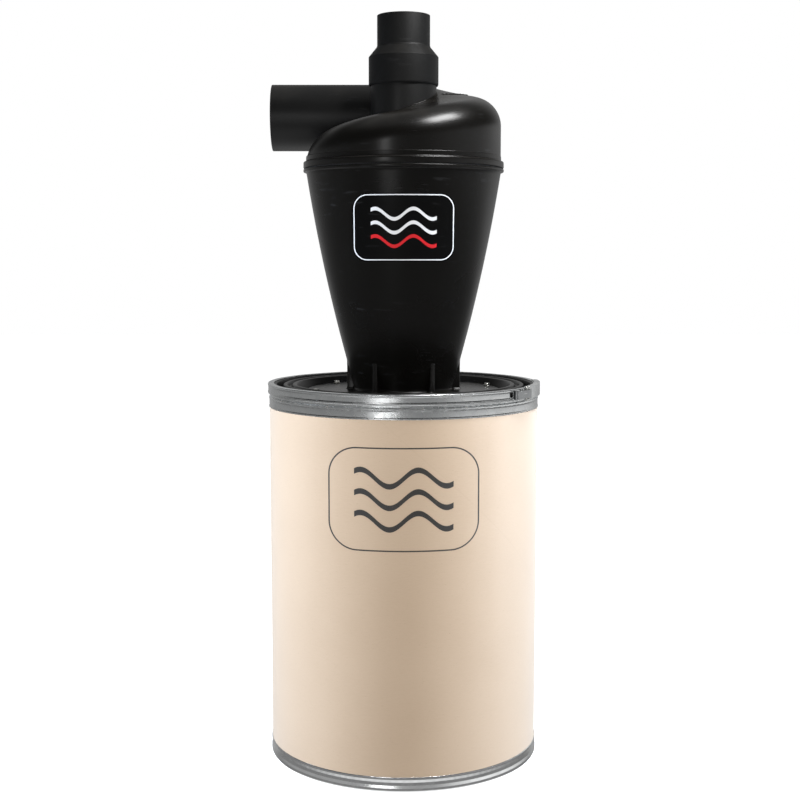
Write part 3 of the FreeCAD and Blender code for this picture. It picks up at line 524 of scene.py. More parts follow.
def buildBottomChime(s):
    out = s["skirt"]
    profile = roundCorners([
        (s["liningIn"], 0.0012, 0.001), (s["lining"] + 0.0006, 0.0, 0.0015), (out - 0.0016, 0.0, 0.0018),
        (out + 0.0008, 0.0026, 0.0028), (out + 0.0008, 0.0076, 0.0030), (out - 0.0005, 0.0130, 0.0050),
        (out - 0.0005, 0.0185, 0.0050), (out + 0.0005, 0.0238, 0.0026), (out + 0.0005, 0.0272, 0.0014),
        (out - 0.0002, 0.0284, 0.0004),
        (s["inside"], 0.0284, 0.0003), (s["inside"], 0.0012), (s["lining"], 0.0012),
        (s["lining"], 0.0216, 0.0003), (s["liningIn"], 0.0216, 0.0003), (s["liningIn"], 0.0120),
        (0.2448, 0.0120, 0.0004), (0.2448, 0.0110, 0.0004), (s["liningIn"], 0.0110)])

    def crimp(r, z, angle):
        # shallow crimps where the upper edge grips the paper
        if r < s["inside"] + 0.0002 or z < 0.023:
            return 0.0, 0.0
        return -0.5 * s["crimpDepth"] * (1 + math.cos(angle * s["crimpCount"])), 0.0

    # the foot chime takes the lighter zinc copy, whose extra brightness is painted reflection
    piece = newPiece("footChime", lathe(profile, 480, shift=crimp), paintedReflectionZinc, 40.0)
    settle(piece, "drum", "galvanised_steel", "bottom_chime")


def buildTopChime(s):
    out = s["skirt"]
    profile = roundCorners([
        (s["liningIn"], 0.6770, 0.0003), (s["lining"], 0.6770, 0.0003), (s["lining"], 0.6974),
        (s["inside"], 0.6974), (s["inside"], 0.6772, 0.0003), (out, 0.6772, 0.0006), (out, 0.6795, 0.0009),
        (out - 0.0007, 0.6812, 0.0010), (out - 0.0007, 0.6915, 0.0012), (out, 0.6940, 0.0014),
        (out - 0.0003, 0.6968, 0.0012),
        (0.2566, 0.6990, 0.0012), (0.2566, 0.7038, 0.0010), (0.2590, 0.7044, 0.0012),
        (0.2594, 0.7062, 0.0016), (0.2594, 0.7088, 0.0016), (0.2580, 0.7102, 0.0014),
        (0.2542, 0.7102, 0.0012), (0.2528, 0.7092, 0.0010)])

    def crimp(r, z, angle):
        if r < s["inside"] - 0.0021 or not 0.6925 < z < 0.7000:
            return 0.0, 0.0
        ripple = math.cos(angle * s["crimpCount"]) + 0.4 * math.sin(angle * 37.0)
        return -0.5 * s["crimpDepth"] * (1.4 + ripple), 0.00035 * ripple

    piece = newPiece("rimChime", lathe(profile, 480, shift=crimp), galvanised, 40.0)
    settle(piece, "drum", "galvanised_steel", "top_chime")


buildBottomChime(chimeSizes)
buildTopChime(chimeSizes)
print("chimes built")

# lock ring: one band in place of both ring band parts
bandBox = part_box("ring_band_left")
ringSizes = {"outer": 0.2614, "steel": 0.0012, "low": bandBox[0][2], "top": bandBox[1][2],
             "lip": 0.0114, "hook": 0.0040, "firstEnd": 55.0, "lastEnd": 414.0,
             "slotFrom": 47.4, "slotTo": 49.2, "slotHalf": 0.0057, "slotDeep": 0.010,
             "blendAngle": 144.5, "blendHalf": 0.0015}


def buildRing(s):
    out, t = s["outer"], s["steel"]
    low, top = s["low"], s["top"]
    profile = roundCorners([
        (out - s["hook"], low, 0.0004), (out, low, 0.0024), (out + 0.0004, low + 0.0035, 0.0016),
        (out - 0.0004, low + 0.0058, 0.0015), (out - 0.0004, top - 0.0055, 0.0015),
        (out + 0.0003, top - 0.0032, 0.0014), (out, top, 0.0022), (out - s["lip"], top, 0.0004),
        (out - s["lip"], top - t, 0.0004), (out - t, top - t, 0.0009), (out - t, low + t, 0.0009),
        (out - s["hook"], low + t, 0.0004)], 5)

    def slack(r, z, angle):
        spot = Vector((math.sin(angle) * 2.3, math.cos(angle) * 2.3, 5.0))
        return noise.noise(spot * 1.6) * 0.00010, noise.noise(spot * 2.1 + Vector((9, 0, 0))) * 0.00025

    sweep = s["lastEnd"] - s["firstEnd"]
    band = newPiece("lockRing", lathe(profile, 359, s["firstEnd"], sweep, slack), galvanised, 38.0)
    # the slot beside the catch
    middle = math.radians((s["slotFrom"] + s["slotTo"]) / 2)
    width = out * math.radians(s["slotTo"] - s["slotFrom"])
    bm = bmesh.new()
    bmesh.ops.create_cube(bm, size=1.0)
    spot = Vector((out * math.sin(middle), -out * math.cos(middle), (low + top) / 2))
    size = Matrix.Diagonal((width, s["slotDeep"], s["slotHalf"] * 2, 1))
    bm.transform(Matrix.Translation(spot) @ Matrix.Rotation(middle, 4, "Z") @ size)
    carve(band, newPiece("slotCutter", bm, galvanised), 38.0)
    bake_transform(band)
    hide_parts("ring_band_left", "ring_band_right")


buildRing(ringSizes)
print("lock ring built")

# latch
latchPieces = [
    ("lever", "latchLever", "latch_lever", "galvanised_steel", galvanised, 0.00035),
    # the link takes the darker zinc copy, whose darkness is painted shade
    ("link", "latchLink", "latch_link", "galvanised_steel", paintedShadeZinc, 0.00050),
    ("pivot_bracket", "leverBracket", "ring_right", "galvanised_steel", galvanised, 0.00030),
    ("catch_bracket", "catchBracket", "ring_left", "galvanised_steel", galvanised, 0.00030),
    ("pivot_pin", "leverPin", "ring_right", "zinc_plated_steel", zincPlate, 0.00040),
    ("link_pin", "linkPin", "latch_lever", "zinc_plated_steel", zincPlate, 0.00040),
    ("catch_pin", "catchBarrel", "latch_link", "zinc_plated_steel", zincPlate, 0.00035)]
for nodeName, pieceName, bodyName, slotName, material, width in latchPieces:
    piece = smoothCopy(nodeName, pieceName, material, 0.000012, 30.0, tidy=0.4)
    softenEdges(piece, width)
    baked(piece)
    settle(piece, bodyName, slotName, nodeName)
print("latch built")

# lid
lidSizes = {"rim": 0.2596, "top": 0.7204, "floor": 0.7010, "ridgeDrop": 0.0009, "bore": 0.0930}


def buildLid(s):
    top, floor = s["top"], s["floor"]
    ridge = top - s["ridgeDrop"]
    # upper face: rim, moat, two ridges, recess and bore
    upper = [(s["rim"], 0.7110, 0.0006), (s["rim"], top, 0.0030), (0.2450, top, 0.0022),
             (0.2430, 0.7050, 0.0025), (0.2335, 0.7050, 0.0030), (0.2315, ridge, 0.0034),
             (0.2245, ridge, 0.0034), (0.2220, 0.7115, 0.0028), (0.2165, 0.7115, 0.0028),
             (0.2135, ridge, 0.0034), (0.2060, ridge, 0.0040), (0.2000, floor, 0.0040),
             (s["bore"], floor, 0.0006)]
    # lower face, from the bore back out to the rim
    lower = [(s["bore"], 0.6972, 0.0006), (0.2030, 0.6972, 0.003), (0.2086, 0.7157, 0.0008),
             (0.2110, 0.7157, 0.0008), (0.2140, 0.7077, 0.002), (0.2246, 0.7077, 0.002),
             (0.2272, 0.7157, 0.0006), (0.2284, 0.7157, 0.0004), (0.2302, 0.7012, 0.001),
             (0.2464, 0.7012, 0.001), (0.2484, 0.7166, 0.001), (0.2561, 0.7166, 0.0004),
             (0.2561, 0.7110, 0.0004)]
    profile = roundCorners(upper + lower, 6)
    piece = newPiece("drumLid", lathe(profile, 288), lidBlack, 40.0)
    settle(piece, "cyclone", "black_moulding", "lid")


buildLid(lidSizes)
sealPieces = {"lid_gasket": "lidSeal", "base_gasket": "flangeSeal", "joint_seal": "jointSeal"}
for nodeName, pieceName in sealPieces.items():
    piece = smoothCopy(nodeName, pieceName, sealRubber)
    settle(piece, "cyclone", "seal_rubber", nodeName)
print("lid built")

# cyclone cone
coneSizes = {"low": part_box("cyclone_cone")[0][2], "flangeLow": 0.7025, "flangeTop": 0.7085, "flange": 0.1860,
             "throat": 0.0920, "foot": 0.0955, "knee": 0.1092, "kneeHeight": 0.7640, "top": 0.1842,
             "topHeight": 1.1160, "bulge": 0.0050, "wall": 0.0040, "joint": 0.1906, "jointLow": 1.1215,
             "jointTop": 1.1276, "steps": 48, "ribWide": 0.0090, "ribCount": 6}


def buildCone(s):
    side = []
    for i in range(s["steps"] + 1):
        t = i / s["steps"]
        crown = s["bulge"] * 4 * t * (1 - t)
        r = s["knee"] + (s["top"] - s["knee"]) * t + crown
        side.append((r, s["kneeHeight"] + (s["topHeight"] - s["kneeHeight"]) * t))
    side.pop(0)
    side.pop()
    w = s["wall"]
    outside = [(s["throat"] - w, s["low"], 0.001), (s["throat"], s["low"], 0.001),
               (s["throat"], s["flangeLow"]), (s["flange"], s["flangeLow"], 0.0006),
               (s["flange"], s["flangeTop"], 0.0022),
               (s["foot"], s["flangeTop"], 0.0060), (s["knee"], s["kneeHeight"], 0.0140)]
    collar = [(s["top"], s["topHeight"], 0.0030), (s["top"] + 0.0012, s["jointLow"], 0.0022),
              (s["joint"], s["jointLow"], 0.0024), (s["joint"], s["jointTop"], 0.0022),
              (s["top"] - w + 0.0008, s["jointTop"]), (s["top"] - w, s["topHeight"])]
    inside = [(r - w, z) for r, z in reversed(side)]
    foot = [(s["knee"] - w, s["kneeHeight"]), (s["throat"] - w, s["flangeTop"])]
    profile = roundCorners(outside + side + collar + inside + foot, 5)
    cone = newPiece("coneShell", lathe(profile, 240), shellBlack, 45.0)
    settle(cone, "cyclone", "black_moulding", "cyclone_cone")


buildCone(coneSizes)


def ringTree(name):
    # copies of one object spaced evenly round the Z axis
    tree = bpy.data.node_groups.new(name, "GeometryNodeTree")
    takes = [("Copied Piece", "NodeSocketObject", None), ("Count", "NodeSocketInt", 6),
             ("First Angle", "NodeSocketFloat", 0.0), ("Finish", "NodeSocketMaterial", None)]
    for label, kind, value in takes:
        socket = tree.interface.new_socket(label, in_out="INPUT", socket_type=kind)
        if value is not None:
            socket.default_value = value
    tree.interface.new_socket("Geometry", in_out="OUTPUT", socket_type="NodeSocketGeometry")
    given = addNode(tree, "NodeGroupInput").outputs
    points = addNode(tree, "GeometryNodePoints")
    tree.links.new(given["Count"], points.inputs["Count"])
    source = addNode(tree, "GeometryNodeObjectInfo")
    tree.links.new(given["Copied Piece"], source.inputs["Object"])
    share = calc(tree, "DIVIDE", addNode(tree, "GeometryNodeInputIndex").outputs[0], given["Count"])
    angle = calc(tree, "ADD", calc(tree, "MULTIPLY", share, math.tau), given["First Angle"])
    turn = addNode(tree, "ShaderNodeCombineXYZ")
    tree.links.new(angle, turn.inputs["Z"])
    copies = addNode(tree, "GeometryNodeInstanceOnPoints")
    tree.links.new(points.outputs[0], copies.inputs["Points"])
    tree.links.new(source.outputs["Geometry"], copies.inputs["Instance"])
    tree.links.new(turn.outputs[0], copies.inputs["Rotation"])
    real = addNode(tree, "GeometryNodeRealizeInstances")
    tree.links.new(copies.outputs[0], real.inputs[0])
    finish = addNode(tree, "GeometryNodeSetMaterial")
    tree.links.new(real.outputs[0], finish.inputs["Geometry"])
    tree.links.new(given["Finish"], finish.inputs["Material"])
    tree.links.new(finish.outputs[0], addNode(tree, "NodeGroupOutput").inputs[0])
    return tree


roundTheAxis = ringTree("roundTheAxis")


def ringOf(name, source, count, firstAngle, material):
    holder = bpy.data.objects.new(name, bpy.data.meshes.new(name))
    scene.collection.objects.link(holder)
    repeat = holder.modifiers.new("repeat", "NODES")
    repeat.node_group = roundTheAxis
    values = {"Copied Piece": source, "Count": count, "First Angle": firstAngle, "Finish": material}
    for item in roundTheAxis.interface.items_tree:
        if item.in_out == "INPUT":
            repeat[item.identifier] = values[item.name]
    baked(holder)
    bpy.data.objects.remove(source)
    smoothMesh(holder.data, 40.0)
    return holder


def ribSource(s):
    # one gusset on +X: flat sides, rounded crown, blended into flange and cone
    half = s["ribWide"] / 2
    edge = 0.0014
    outer = s["knee"] - 0.0002
    bm = bmesh.new()
    layers = [(-half, -edge), (-half + edge * 0.4, -edge * 0.3), (-half + edge, 0.0), (half - edge, 0.0),
              (half - edge * 0.4, -edge * 0.3), (half, -edge)]
    # heights with how far the rib flares out there
    levels = [(s["flangeTop"] - 0.001, 0.0035), (s["flangeTop"] + 0.0012, 0.0012),
              (s["flangeTop"] + 0.004, 0.0), (s["kneeHeight"] - 0.012, 0.0),
              (s["kneeHeight"] + 0.004, 0.0004)]
    rows = []
    for z, flare in levels:
        row = [bm.verts.new((s["throat"] - 0.0005, -half - flare, z))]
        row += [bm.verts.new((outer + sink + flare, y + math.copysign(flare, y), z)) for y, sink in layers]
        row += [bm.verts.new((s["throat"] - 0.0005, half + flare, z))]
        rows.append(row)
    for low, high in zip(rows, rows[1:]):
        for k in range(len(low)):
            n = (k + 1) % len(low)
            bm.faces.new((low[k], low[n], high[n], high[k]))
    bm.faces.new(rows[0])
    bm.faces.new(rows[-1])
    return newPiece("ribSource", bm, shellBlack)


ribs = ringOf("coneRibs", ribSource(coneSizes), coneSizes["ribCount"], 0.0, shellBlack)
settle(ribs, "cyclone", "black_moulding")
plate = smoothCopy("cyclone_label", "conePlate", platePrint, 0.00002, 25.0)
settle(plate, "cyclone", "label_plate", "cyclone_label")
print("cone built")

# base fasteners
boltSizes = {"circle": 0.1760, "first": 20.0, "count": 6, "across": 0.0100, "shank": 0.0030, "thread": 0.0005,
             "headLow": 0.7097, "headTop": 0.7137, "tip": 0.6870, "washer": 0.0064, "washerThick": 0.0012,
             "nutLow": 0.6910, "nutTop": 0.6960, "pitch": 0.0010, "fit": 0.00005}
loopSides = 24  # points round each bolt, washer and nut


def hexLoop(bm, across, z, centre, chamfer=0.0):
    corner = across / math.sqrt(3)
    loop = []
    for k in range(loopSides):
        a = math.tau * k / loopSides
        local = (a + math.pi / 6) % (math.pi / 3) - math.pi / 6
        flat = across / 2 / math.cos(local)
        r = min(flat, corner - chamfer) if chamfer else flat
        loop.append(bm.verts.new((centre + r * math.cos(a), r * math.sin(a), z)))
    return loop


def discLoop(bm, r, z, centre):
    turns = [math.tau * k / loopSides for k in range(loopSides)]
    return [bm.verts.new((centre + r * math.cos(a), r * math.sin(a), z)) for a in turns]


def skin(bm, loops, closed=False):
    pairs = list(zip(loops, loops[1:])) + ([(loops[-1], loops[0])] if closed else [])
    for low, high in pairs:
        for k in range(len(low)):
            n = (k + 1) % len(low)
            bm.faces.new((low[k], low[n], high[n], high[k]))
    if not closed:
        bm.faces.new(loops[0])
        bm.faces.new(loops[-1])


def boltSource(s):
    bm = bmesh.new()
    c = s["circle"]
    loops = [discLoop(bm, s["shank"] - 0.0006, s["tip"], c)]
    z = s["tip"] + 0.0006
    crest = s["shank"] - s["fit"]
    while z < s["nutLow"] - 0.0004:
        loops.append(discLoop(bm, crest, z, c))
        loops.append(discLoop(bm, s["shank"] - s["thread"], z + s["pitch"] / 2, c))
        z += s["pitch"]
    loops += [discLoop(bm, crest, s["nutLow"], c), discLoop(bm, crest, s["headLow"], c)]
    # hexagonal head with a shallow dish
    across, top = s["across"], s["headTop"]
    loops += [hexLoop(bm, across * 0.94, s["headLow"], c), hexLoop(bm, across, s["headLow"] + 0.0003, c),
              hexLoop(bm, across, top - 0.0007, c, 0.0001), hexLoop(bm, across, top - 0.0002, c, 0.0007),
              discLoop(bm, across * 0.45, top, c), discLoop(bm, across * 0.36, top - 0.0002, c),
              discLoop(bm, across * 0.2, top - 0.0003, c)]
    skin(bm, loops)
    return newPiece("boltSource", bm, zincPlate)


def washerSource(s, low):
    bm = bmesh.new()
    c, r, t = s["circle"], s["washer"], s["washerThick"]
    hole = s["shank"] + 0.0002
    skin(bm, [discLoop(bm, hole, low, c), discLoop(bm, r - 0.0002, low, c), discLoop(bm, r, low + 0.0003, c),
              discLoop(bm, r, low + t - 0.0003, c), discLoop(bm, r - 0.0003, low + t, c),
              discLoop(bm, hole, low + t, c)], True)
    return newPiece("washerSource", bm, zincPlate)


def nutSource(s):
    bm = bmesh.new()
    c, hole, across = s["circle"], s["shank"] + s["fit"], s["across"]
    low, top = s["nutLow"], s["nutTop"]
    skin(bm, [discLoop(bm, hole, low, c), discLoop(bm, across * 0.44, low, c),
              hexLoop(bm, across, low + 0.0006, c, 0.0004), hexLoop(bm, across, low + 0.0012, c),
              hexLoop(bm, across, top - 0.0012, c), hexLoop(bm, across, top - 0.0006, c, 0.0004),
              discLoop(bm, across * 0.44, top, c), discLoop(bm, hole, top, c)], True)
    return newPiece("nutSource", bm, zincPlate)


firstBolt = math.radians(boltSizes["first"])
washerLow = boltSizes["headLow"] - boltSizes["washerThick"]
for pieceName, source, nodeName in (
        ("baseBolts", boltSource(boltSizes), "base_bolts"),
        ("boltWashers", washerSource(boltSizes, washerLow), "bolt_washers"),
        ("nutWashers", washerSource(boltSizes, boltSizes["nutTop"]), "nut_washers"),
        ("baseNuts", nutSource(boltSizes), "base_nuts")):
    piece = ringOf(pieceName, source, boltSizes["count"], firstBolt, zincPlate)
    settle(piece, "cyclone", "zinc_plated_steel", nodeName)
print("fasteners built")

# head
headSizes = {"top": 1.300, "drop": 0.144, "rise": 0.008, "outer": 0.1847, "bend": 0.055, "hub": 0.0626,
             "wall": 0.0040, "foot": 1.1500, "turn": 349.2, "steps": 240,
             "pocket": 0.0672, "pocketFloor": 1.2832,
             "boreY": 0.120, "boreZ": 1.236, "bore": 0.0617, "stub": 0.0657, "stubLength": 0.035,
             "panTop": 1.152, "panLow": 1.1288, "flange": 0.1906, "flangeTop": 1.141}


def roofHeight(s, turn, r, inset=0.0):
    # turn in degrees clockwise from the back, seen from above
    crest = s["top"] - inset - s["drop"] * turn / 360.0
    bend = s["bend"] - inset
    flat = s["outer"] - s["bend"]
    if r <= flat:
        return crest + s["rise"] * (flat - r) / (flat - s["hub"])
    over = min(r - flat, bend)
    return crest - bend + math.sqrt(max(bend ** 2 - over ** 2, 0.0))


def roofProfile(s, turn, inset=0.0):
    # from the foot of the outer wall, over the shoulder, in to the hub
    outer, bend = s["outer"] - inset, s["bend"] - inset
    flat = s["outer"] - s["bend"]
    wallTop = s["top"] - inset - s["drop"] * turn / 360.0 - bend
    points = [(outer, s["foot"] + (max(wallTop, s["foot"]) - s["foot"]) * k / 6) for k in range(6)]
    for k in range(21):
        a = math.pi / 2 * k / 20
        points.append((flat + bend * math.cos(a), max(wallTop + bend * math.sin(a), s["foot"])))
    hubEdge = s["pocket"] + inset * 0.8
    for k in range(1, 9):
        r = flat + (hubEdge - flat) * k / 8
        points.append((r, roofHeight(s, turn, r, inset)))
    seat = min(points[-1][1], s["pocketFloor"] - inset)
    return points + [(hubEdge, seat), (s["hub"], seat)]


def tubeAlongX(name, inner, outer, start, end, y, z, material, trim=0.0008):
    inner = max(inner, 0.00001)
    profile = roundCorners([(inner, start, trim), (outer, start, trim), (outer, end), (inner, end)], 3)
    bm = lathe(profile, 144)
    # lathe axis Z becomes X
    bm.transform(Matrix.Translation((0, y, z)) @ Matrix.Rotation(math.radians(90), 4, "Y"))
    return newPiece(name, bm, material, 40.0)


def buildHead(s):
    bm = bmesh.new()
    rings = []
    for i in range(s["steps"] + 1):
        turn = s["turn"] * i / s["steps"]
        profile = roofProfile(s, turn) + list(reversed(roofProfile(s, turn, s["wall"])))
        a = math.radians(turn)
        rings.append([bm.verts.new((r * math.sin(a), r * math.cos(a), z)) for r, z in profile])
    skin(bm, rings)
    bmesh.ops.remove_doubles(bm, verts=bm.verts, dist=0.000005)
    roof = newPiece("spiralRoof", bm, shellBlack, 50.0)
    settle(roof, "cyclone", "black_moulding", "cyclone_head")

    inner = s["outer"] - s["wall"] + 0.0004
    outer, seam = s["outer"], s["panTop"]
    profile = roundCorners([
        (inner, s["panLow"], 0.0004), (s["flange"], s["panLow"], 0.0022),
        (s["flange"] - 0.0002, s["flangeTop"], 0.0042), (outer + 0.0009, s["flangeTop"] + 0.0004, 0.0030),
        (outer + 0.0006, seam - 0.0012, 0.0012), (outer - 0.0006, seam + 0.0002, 0.0008),
        (outer - 0.0044, seam - 0.0012), (inner, seam - 0.0040)], 5)
    pan = newPiece("headPan", lathe(profile, 240), shellBlack, 50.0)
    settle(pan, "cyclone", "black_moulding")

    # ledge under the low end of the spiral
    ledge = [(s["hub"], s["panTop"] - 0.004), (s["outer"] - 0.001, s["panTop"] - 0.004),
             (s["outer"] - 0.001, s["panTop"]), (s["hub"], s["panTop"])]
    low = newPiece("spiralLedge", lathe(ledge, 60, 180.0, 150.0), shellBlack, 40.0)
    settle(low, "cyclone", "black_moulding")

    # upright wall at the back, with the inlet's mouth
    rim = roofProfile(s, 0.0)
    bm = bmesh.new()
    for x in (-s["wall"], 0.0005):
        bm.faces.new([bm.verts.new((x, r, z)) for r, z in rim] + [bm.verts.new((x, s["hub"], s["foot"]))])
    bm.verts.ensure_lookup_table()
    count = len(bm.verts) // 2
    for k in range(count):
        n = (k + 1) % count
        bm.faces.new((bm.verts[k], bm.verts[n], bm.verts[count + n], bm.verts[count + k]))
    wall = newPiece("endWall", bm, shellBlack, 35.0)
    bore = tubeAlongX("boreCutter", 0.0, s["bore"], -0.06, 0.03, s["boreY"], s["boreZ"], shellBlack)
    carve(wall, bore, 35.0)
    settle(wall, "cyclone", "black_moulding")

    stub = tubeAlongX("inletStub", s["bore"], s["stub"], -s["stubLength"], -s["wall"] + 0.001,
                      s["boreY"], s["boreZ"], shellBlack, 0.0012)
    core = [(0.00001, 1.1), (s["hub"], 1.1), (s["hub"], 1.35), (0.00001, 1.35)]
    carve(stub, newPiece("hubCutter", lathe(core, 120), shellBlack), 40.0)
    settle(stub, "cyclone", "black_moulding")


buildHead(headSizes)


def atTurn(turn, r, z):
    a = math.radians(turn)
    return Vector((r * math.sin(a), r * math.cos(a), z))


def raggedBead(name, path, radius, seed, material, body, slotName):
    # a welded or trimmed seam: a thin bead with an uneven width along its path
    bm = bmesh.new()
    rings = []
    for i, here in enumerate(path):
        ahead = path[min(i + 1, len(path) - 1)]
        behind = path[max(i - 1, 0)]
        along = (ahead - behind).normalized()
        across = along.cross(Vector((0, 0, 1))).normalized()
        up = across.cross(along).normalized()
        rough = 1.0 + 0.75 * noise.noise(Vector((i * 0.61, seed, 0.0)))
        rough += 0.3 * noise.noise(Vector((i * 1.9, seed, 4.0)))
        taper = min(1.0, i / 4 + 0.15, (len(path) - 1 - i) / 4 + 0.15)
        size = radius * rough * taper
        ring = []
        for k in range(8):
            a = math.tau * k / 8
            ring.append(bm.verts.new(here + across * (size * 1.3 * math.cos(a)) + up * (size * math.sin(a))))
        rings.append(ring)
    skin(bm, rings)
    piece = newPiece(name, bm, material, 70.0)
    settle(piece, body, slotName)


beadSizes = {"bead": 0.0011, "tubeFrom": 78, "tubeTo": 352, "tubeStep": 3, "tubeGap": 0.0006,
             "seamTurn": 97.0, "seamSweep": 40.0, "seamStart": 0.071, "seamRun": 0.078, "seamSway": 0.0012,
             "seamSteps": 59, "seamLift": 0.0003}


def buildBeads(s, head):
    # one weld round the outlet tube and one seam across the roof
    hub = head["hub"]
    turns = range(s["tubeFrom"], s["tubeTo"], s["tubeStep"])
    tubePath = [atTurn(turn, hub + s["tubeGap"], roofHeight(head, turn, hub)) for turn in turns]
    raggedBead("tubeWeld", tubePath, s["bead"], 3.0, shellBlack, "cyclone", "black_moulding")
    seamPath = []
    for k in range(s["seamSteps"] + 1):
        turn = s["seamTurn"] - s["seamSweep"] * k / s["seamSteps"]
        r = s["seamStart"] + s["seamRun"] * k / s["seamSteps"] + s["seamSway"] * math.sin(k * 1.3)
        seamPath.append(atTurn(turn, r, roofHeight(head, turn, r) + s["seamLift"]))
    raggedBead("roofSeam", seamPath, s["bead"], 8.0, shellBlack, "cyclone", "black_moulding")


buildBeads(beadSizes, headSizes)
print("head built")

# tubes
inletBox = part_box("inlet_tube")
inletSizes = {"outer": (inletBox[1][1] - inletBox[0][1]) / 2, "wall": 0.0030,
              "y": (inletBox[1][1] + inletBox[0][1]) / 2, "z": (inletBox[1][2] + inletBox[0][2]) / 2}
inlet = tubeAlongX("inletTube", inletSizes["outer"] - inletSizes["wall"], inletSizes["outer"],
                   inletBox[0][0], inletBox[1][0], inletSizes["y"], inletSizes["z"], tubeBlack)
settle(inlet, "cyclone", "black_moulding", "inlet_tube")

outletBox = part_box("outlet_tube")
outletSizes = {"bore": 0.0595, "outer": 0.0625, "low": outletBox[0][2], "top": outletBox[1][2]}
outletProfile = roundCorners([
    (outletSizes["bore"], outletSizes["low"], 0.0008), (outletSizes["outer"], outletSizes["low"], 0.0008),
    (outletSizes["outer"], outletSizes["top"], 0.0006), (outletSizes["bore"], outletSizes["top"], 0.0006)], 3)
outlet = newPiece("outletTube", lathe(outletProfile, 144), tubeBlack, 40.0)
settle(outlet, "cyclone", "black_moulding", "outlet_tube")

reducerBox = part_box("reducer")
reducerSizes = {"foot": reducerBox[0][2], "top": reducerBox[1][2], "bore": 0.0628, "wall": 0.0033,
                "spigot": 0.0500, "sleeve": 0.0530, "taper": 0.0200, "seat": 1.3335}


def buildReducer(s):
    shoulder = s["foot"] + s["sleeve"]
    neck = shoulder + s["taper"]
    sleeve = s["bore"] + s["wall"]
    spigot, spigotBore = s["spigot"], s["spigot"] - s["wall"]
    profile = roundCorners([
        (s["bore"], s["foot"], 0.0006), (sleeve - 0.0008, s["foot"], 0.0008),
        (sleeve, s["foot"] + 0.0030, 0.001), (sleeve, shoulder, 0.0012),
        (spigot + 0.0009, neck - 0.0016, 0.0010), (spigot + 0.0006, neck, 0.0005),
        (spigot, neck + 0.0012, 0.0006), (spigot, s["top"], 0.0009), (spigotBore, s["top"], 0.0012),
        (spigotBore, neck - 0.0015, 0.002), (s["bore"] - 0.0040, s["seat"]), (s["bore"], s["seat"])], 4)
    piece = newPiece("hoseReducer", lathe(profile, 160), reducerBlack, 30.0)
    settle(piece, "hose_reducer", "black_rubbery_plastic", "reducer")


buildReducer(reducerSizes)
print("tubes and reducer built")

# floor, light, camera
floorTone, tree, surface, where = newMaterial("paleFloor")
mottle = useGroup(tree, mottleGroup, Where=where, Slow=1.5, Fine=60.0)
floorColour = mixColour(tree, mottle["Cloud"], (0.90, 0.90, 0.90, 1), (0.93, 0.93, 0.925, 1))
tree.links.new(floorColour, surface.inputs["Base Color"])
surface.inputs["Roughness"].default_value = 0.7
surface.inputs["Emission Color"].default_value = (1, 1, 1, 1)
surface.inputs["Emission Strength"].default_value = 0.80
bm = bmesh.new()
bmesh.ops.create_grid(bm, x_segments=1, y_segments=1, size=14.0)
floor = newPiece("paleGround", bm, floorTone)
floor.visible_glossy = False
floor.visible_diffuse = False

world = bpy.data.worlds.new("paleStudio")
scene.world = world
world.use_nodes = True
sky = world.node_tree
backdrop = sky.nodes["Background"]
# what the object mirrors: a pale wall behind, a band at mid height that is stronger on the right,
# and soft light from above and below. The camera itself sees plain white
skyLevels = {"behind": 0.42, "band": 0.34, "bandRight": 0.60, "low": 0.18, "above": 0.55, "least": 0.02}
skyWhere = addNode(sky, "ShaderNodeSeparateXYZ")
sky.links.new(addNode(sky, "ShaderNodeTexCoord").outputs["Generated"], skyWhere.inputs[0])
behind = calc(sky, "MULTIPLY", stepUp(sky, skyWhere.outputs["Y"], 0.40, 0.95), skyLevels["behind"])
rightward = stepUp(sky, skyWhere.outputs["X"], 0.35, 0.95)
level = stepUp(sky, skyWhere.outputs["Z"], -0.22, -0.06)
ceiling = stepUp(sky, skyWhere.outputs["Z"], 0.10, 0.30)
band = calc(sky, "MULTIPLY", level, calc(sky, "SUBTRACT", 1.0, ceiling))
bandTone = calc(sky, "ADD", skyLevels["band"], calc(sky, "MULTIPLY", rightward, skyLevels["bandRight"]))
band = calc(sky, "MULTIPLY", band, bandTone)
low = calc(sky, "MULTIPLY", calc(sky, "SUBTRACT", 1.0, level), skyLevels["low"])
overhead = calc(sky, "MULTIPLY", stepUp(sky, skyWhere.outputs["Z"], 0.70, 0.92), skyLevels["above"])
beneath = stepUp(sky, calc(sky, "MULTIPLY", skyWhere.outputs["Z"], -1.0), 0.50, 0.72)
dim = calc(sky, "ADD", calc(sky, "ADD", band, low), skyLevels["least"])
dim = calc(sky, "ADD", dim, calc(sky, "ADD", overhead, beneath))
bright = calc(sky, "MAXIMUM", dim, behind)
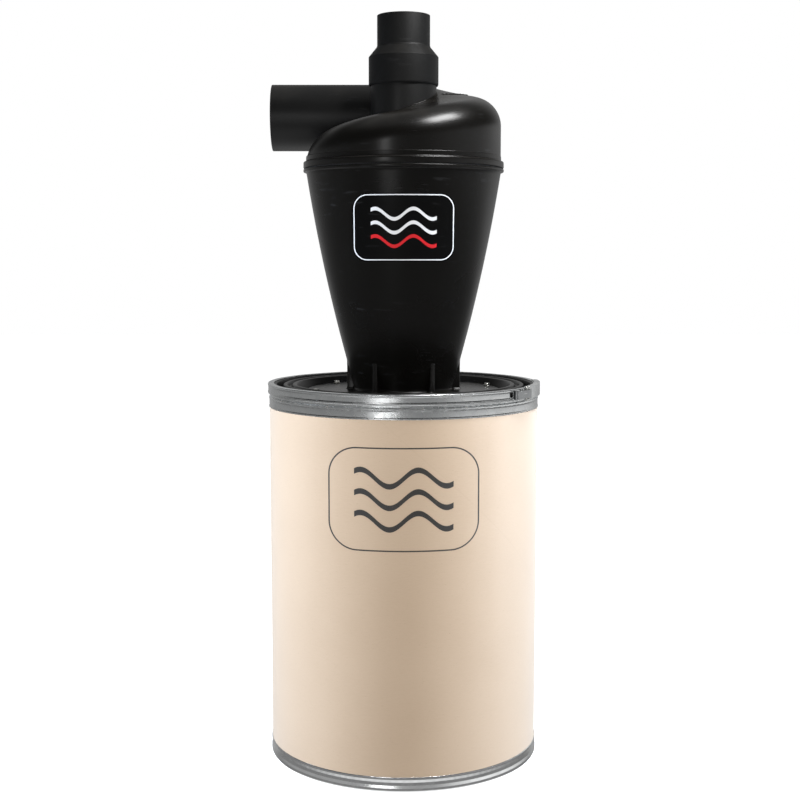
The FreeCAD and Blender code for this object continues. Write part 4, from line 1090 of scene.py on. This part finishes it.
bright = calc(sky, "MAXIMUM", bright, addNode(sky, "ShaderNodeLightPath").outputs["Is Camera Ray"])
sky.links.new(mixColour(sky, bright, (0.0, 0.0, 0.0, 1), (1.0, 1.0, 1.0, 1)), backdrop.inputs["Color"])
backdrop.inputs["Strength"].default_value = 1.0
scene.view_settings.view_transform = "Standard"


def softBox(name, spot, target, wide, tall, watts, glossy=True, tint=(1.0, 1.0, 1.0)):
    light = bpy.data.lights.new(name, "AREA")
    light.shape = "RECTANGLE"
    light.size, light.size_y = wide, tall
    light.energy = watts
    light.color = tint
    lamp = bpy.data.objects.new(name, light)
    scene.collection.objects.link(lamp)
    lamp.location = spot
    lamp.rotation_euler = (Vector(target) - Vector(spot)).to_track_quat("-Z", "Y").to_euler()
    lamp.visible_glossy = glossy


coolTint = (0.92, 1.05, 1.24)
softBox("overheadBox", (0.40, -0.37, 1.83), (0.05, -0.14, 1.20), 0.44, 0.24, 15)
softBox("fillBox", (-0.62, -1.67, 1.33), (0.0, -0.1, 1.15), 0.14, 0.10, 1.9)
softBox("rightStrip", (1.9, -0.20, 0.8), (0.0, 0.0, 0.5), 0.7, 2.0, 55, glossy=False, tint=coolTint)
softBox("leftStrip", (-1.9, -0.20, 0.8), (0.0, 0.0, 0.5), 0.7, 2.0, 67, glossy=False, tint=coolTint)
softBox("frontFill", (0.0, -3.6, 1.2), (0.0, 0.0, 0.5), 2.4, 1.8, 62, glossy=False)
softBox("frontCard", (-0.95, -3.2, 0.36), (0.0, 0.0, 0.55), 1.0, 0.4, 4)

cameraSet = {"sensor": 36.0, "lens": 61.9, "spot": (-0.0068, -2.655, 0.965), "tilt": 84.0}
cameraData = bpy.data.cameras.new("studioCamera")
cameraData.sensor_width = cameraSet["sensor"]
cameraData.lens = cameraSet["lens"]
camera = bpy.data.objects.new("studioCamera", cameraData)
scene.collection.objects.link(camera)
camera.location = cameraSet["spot"]
camera.rotation_euler = (math.radians(cameraSet["tilt"]), 0.0, 0.0)
scene.camera = camera
print("stage, light and camera set")
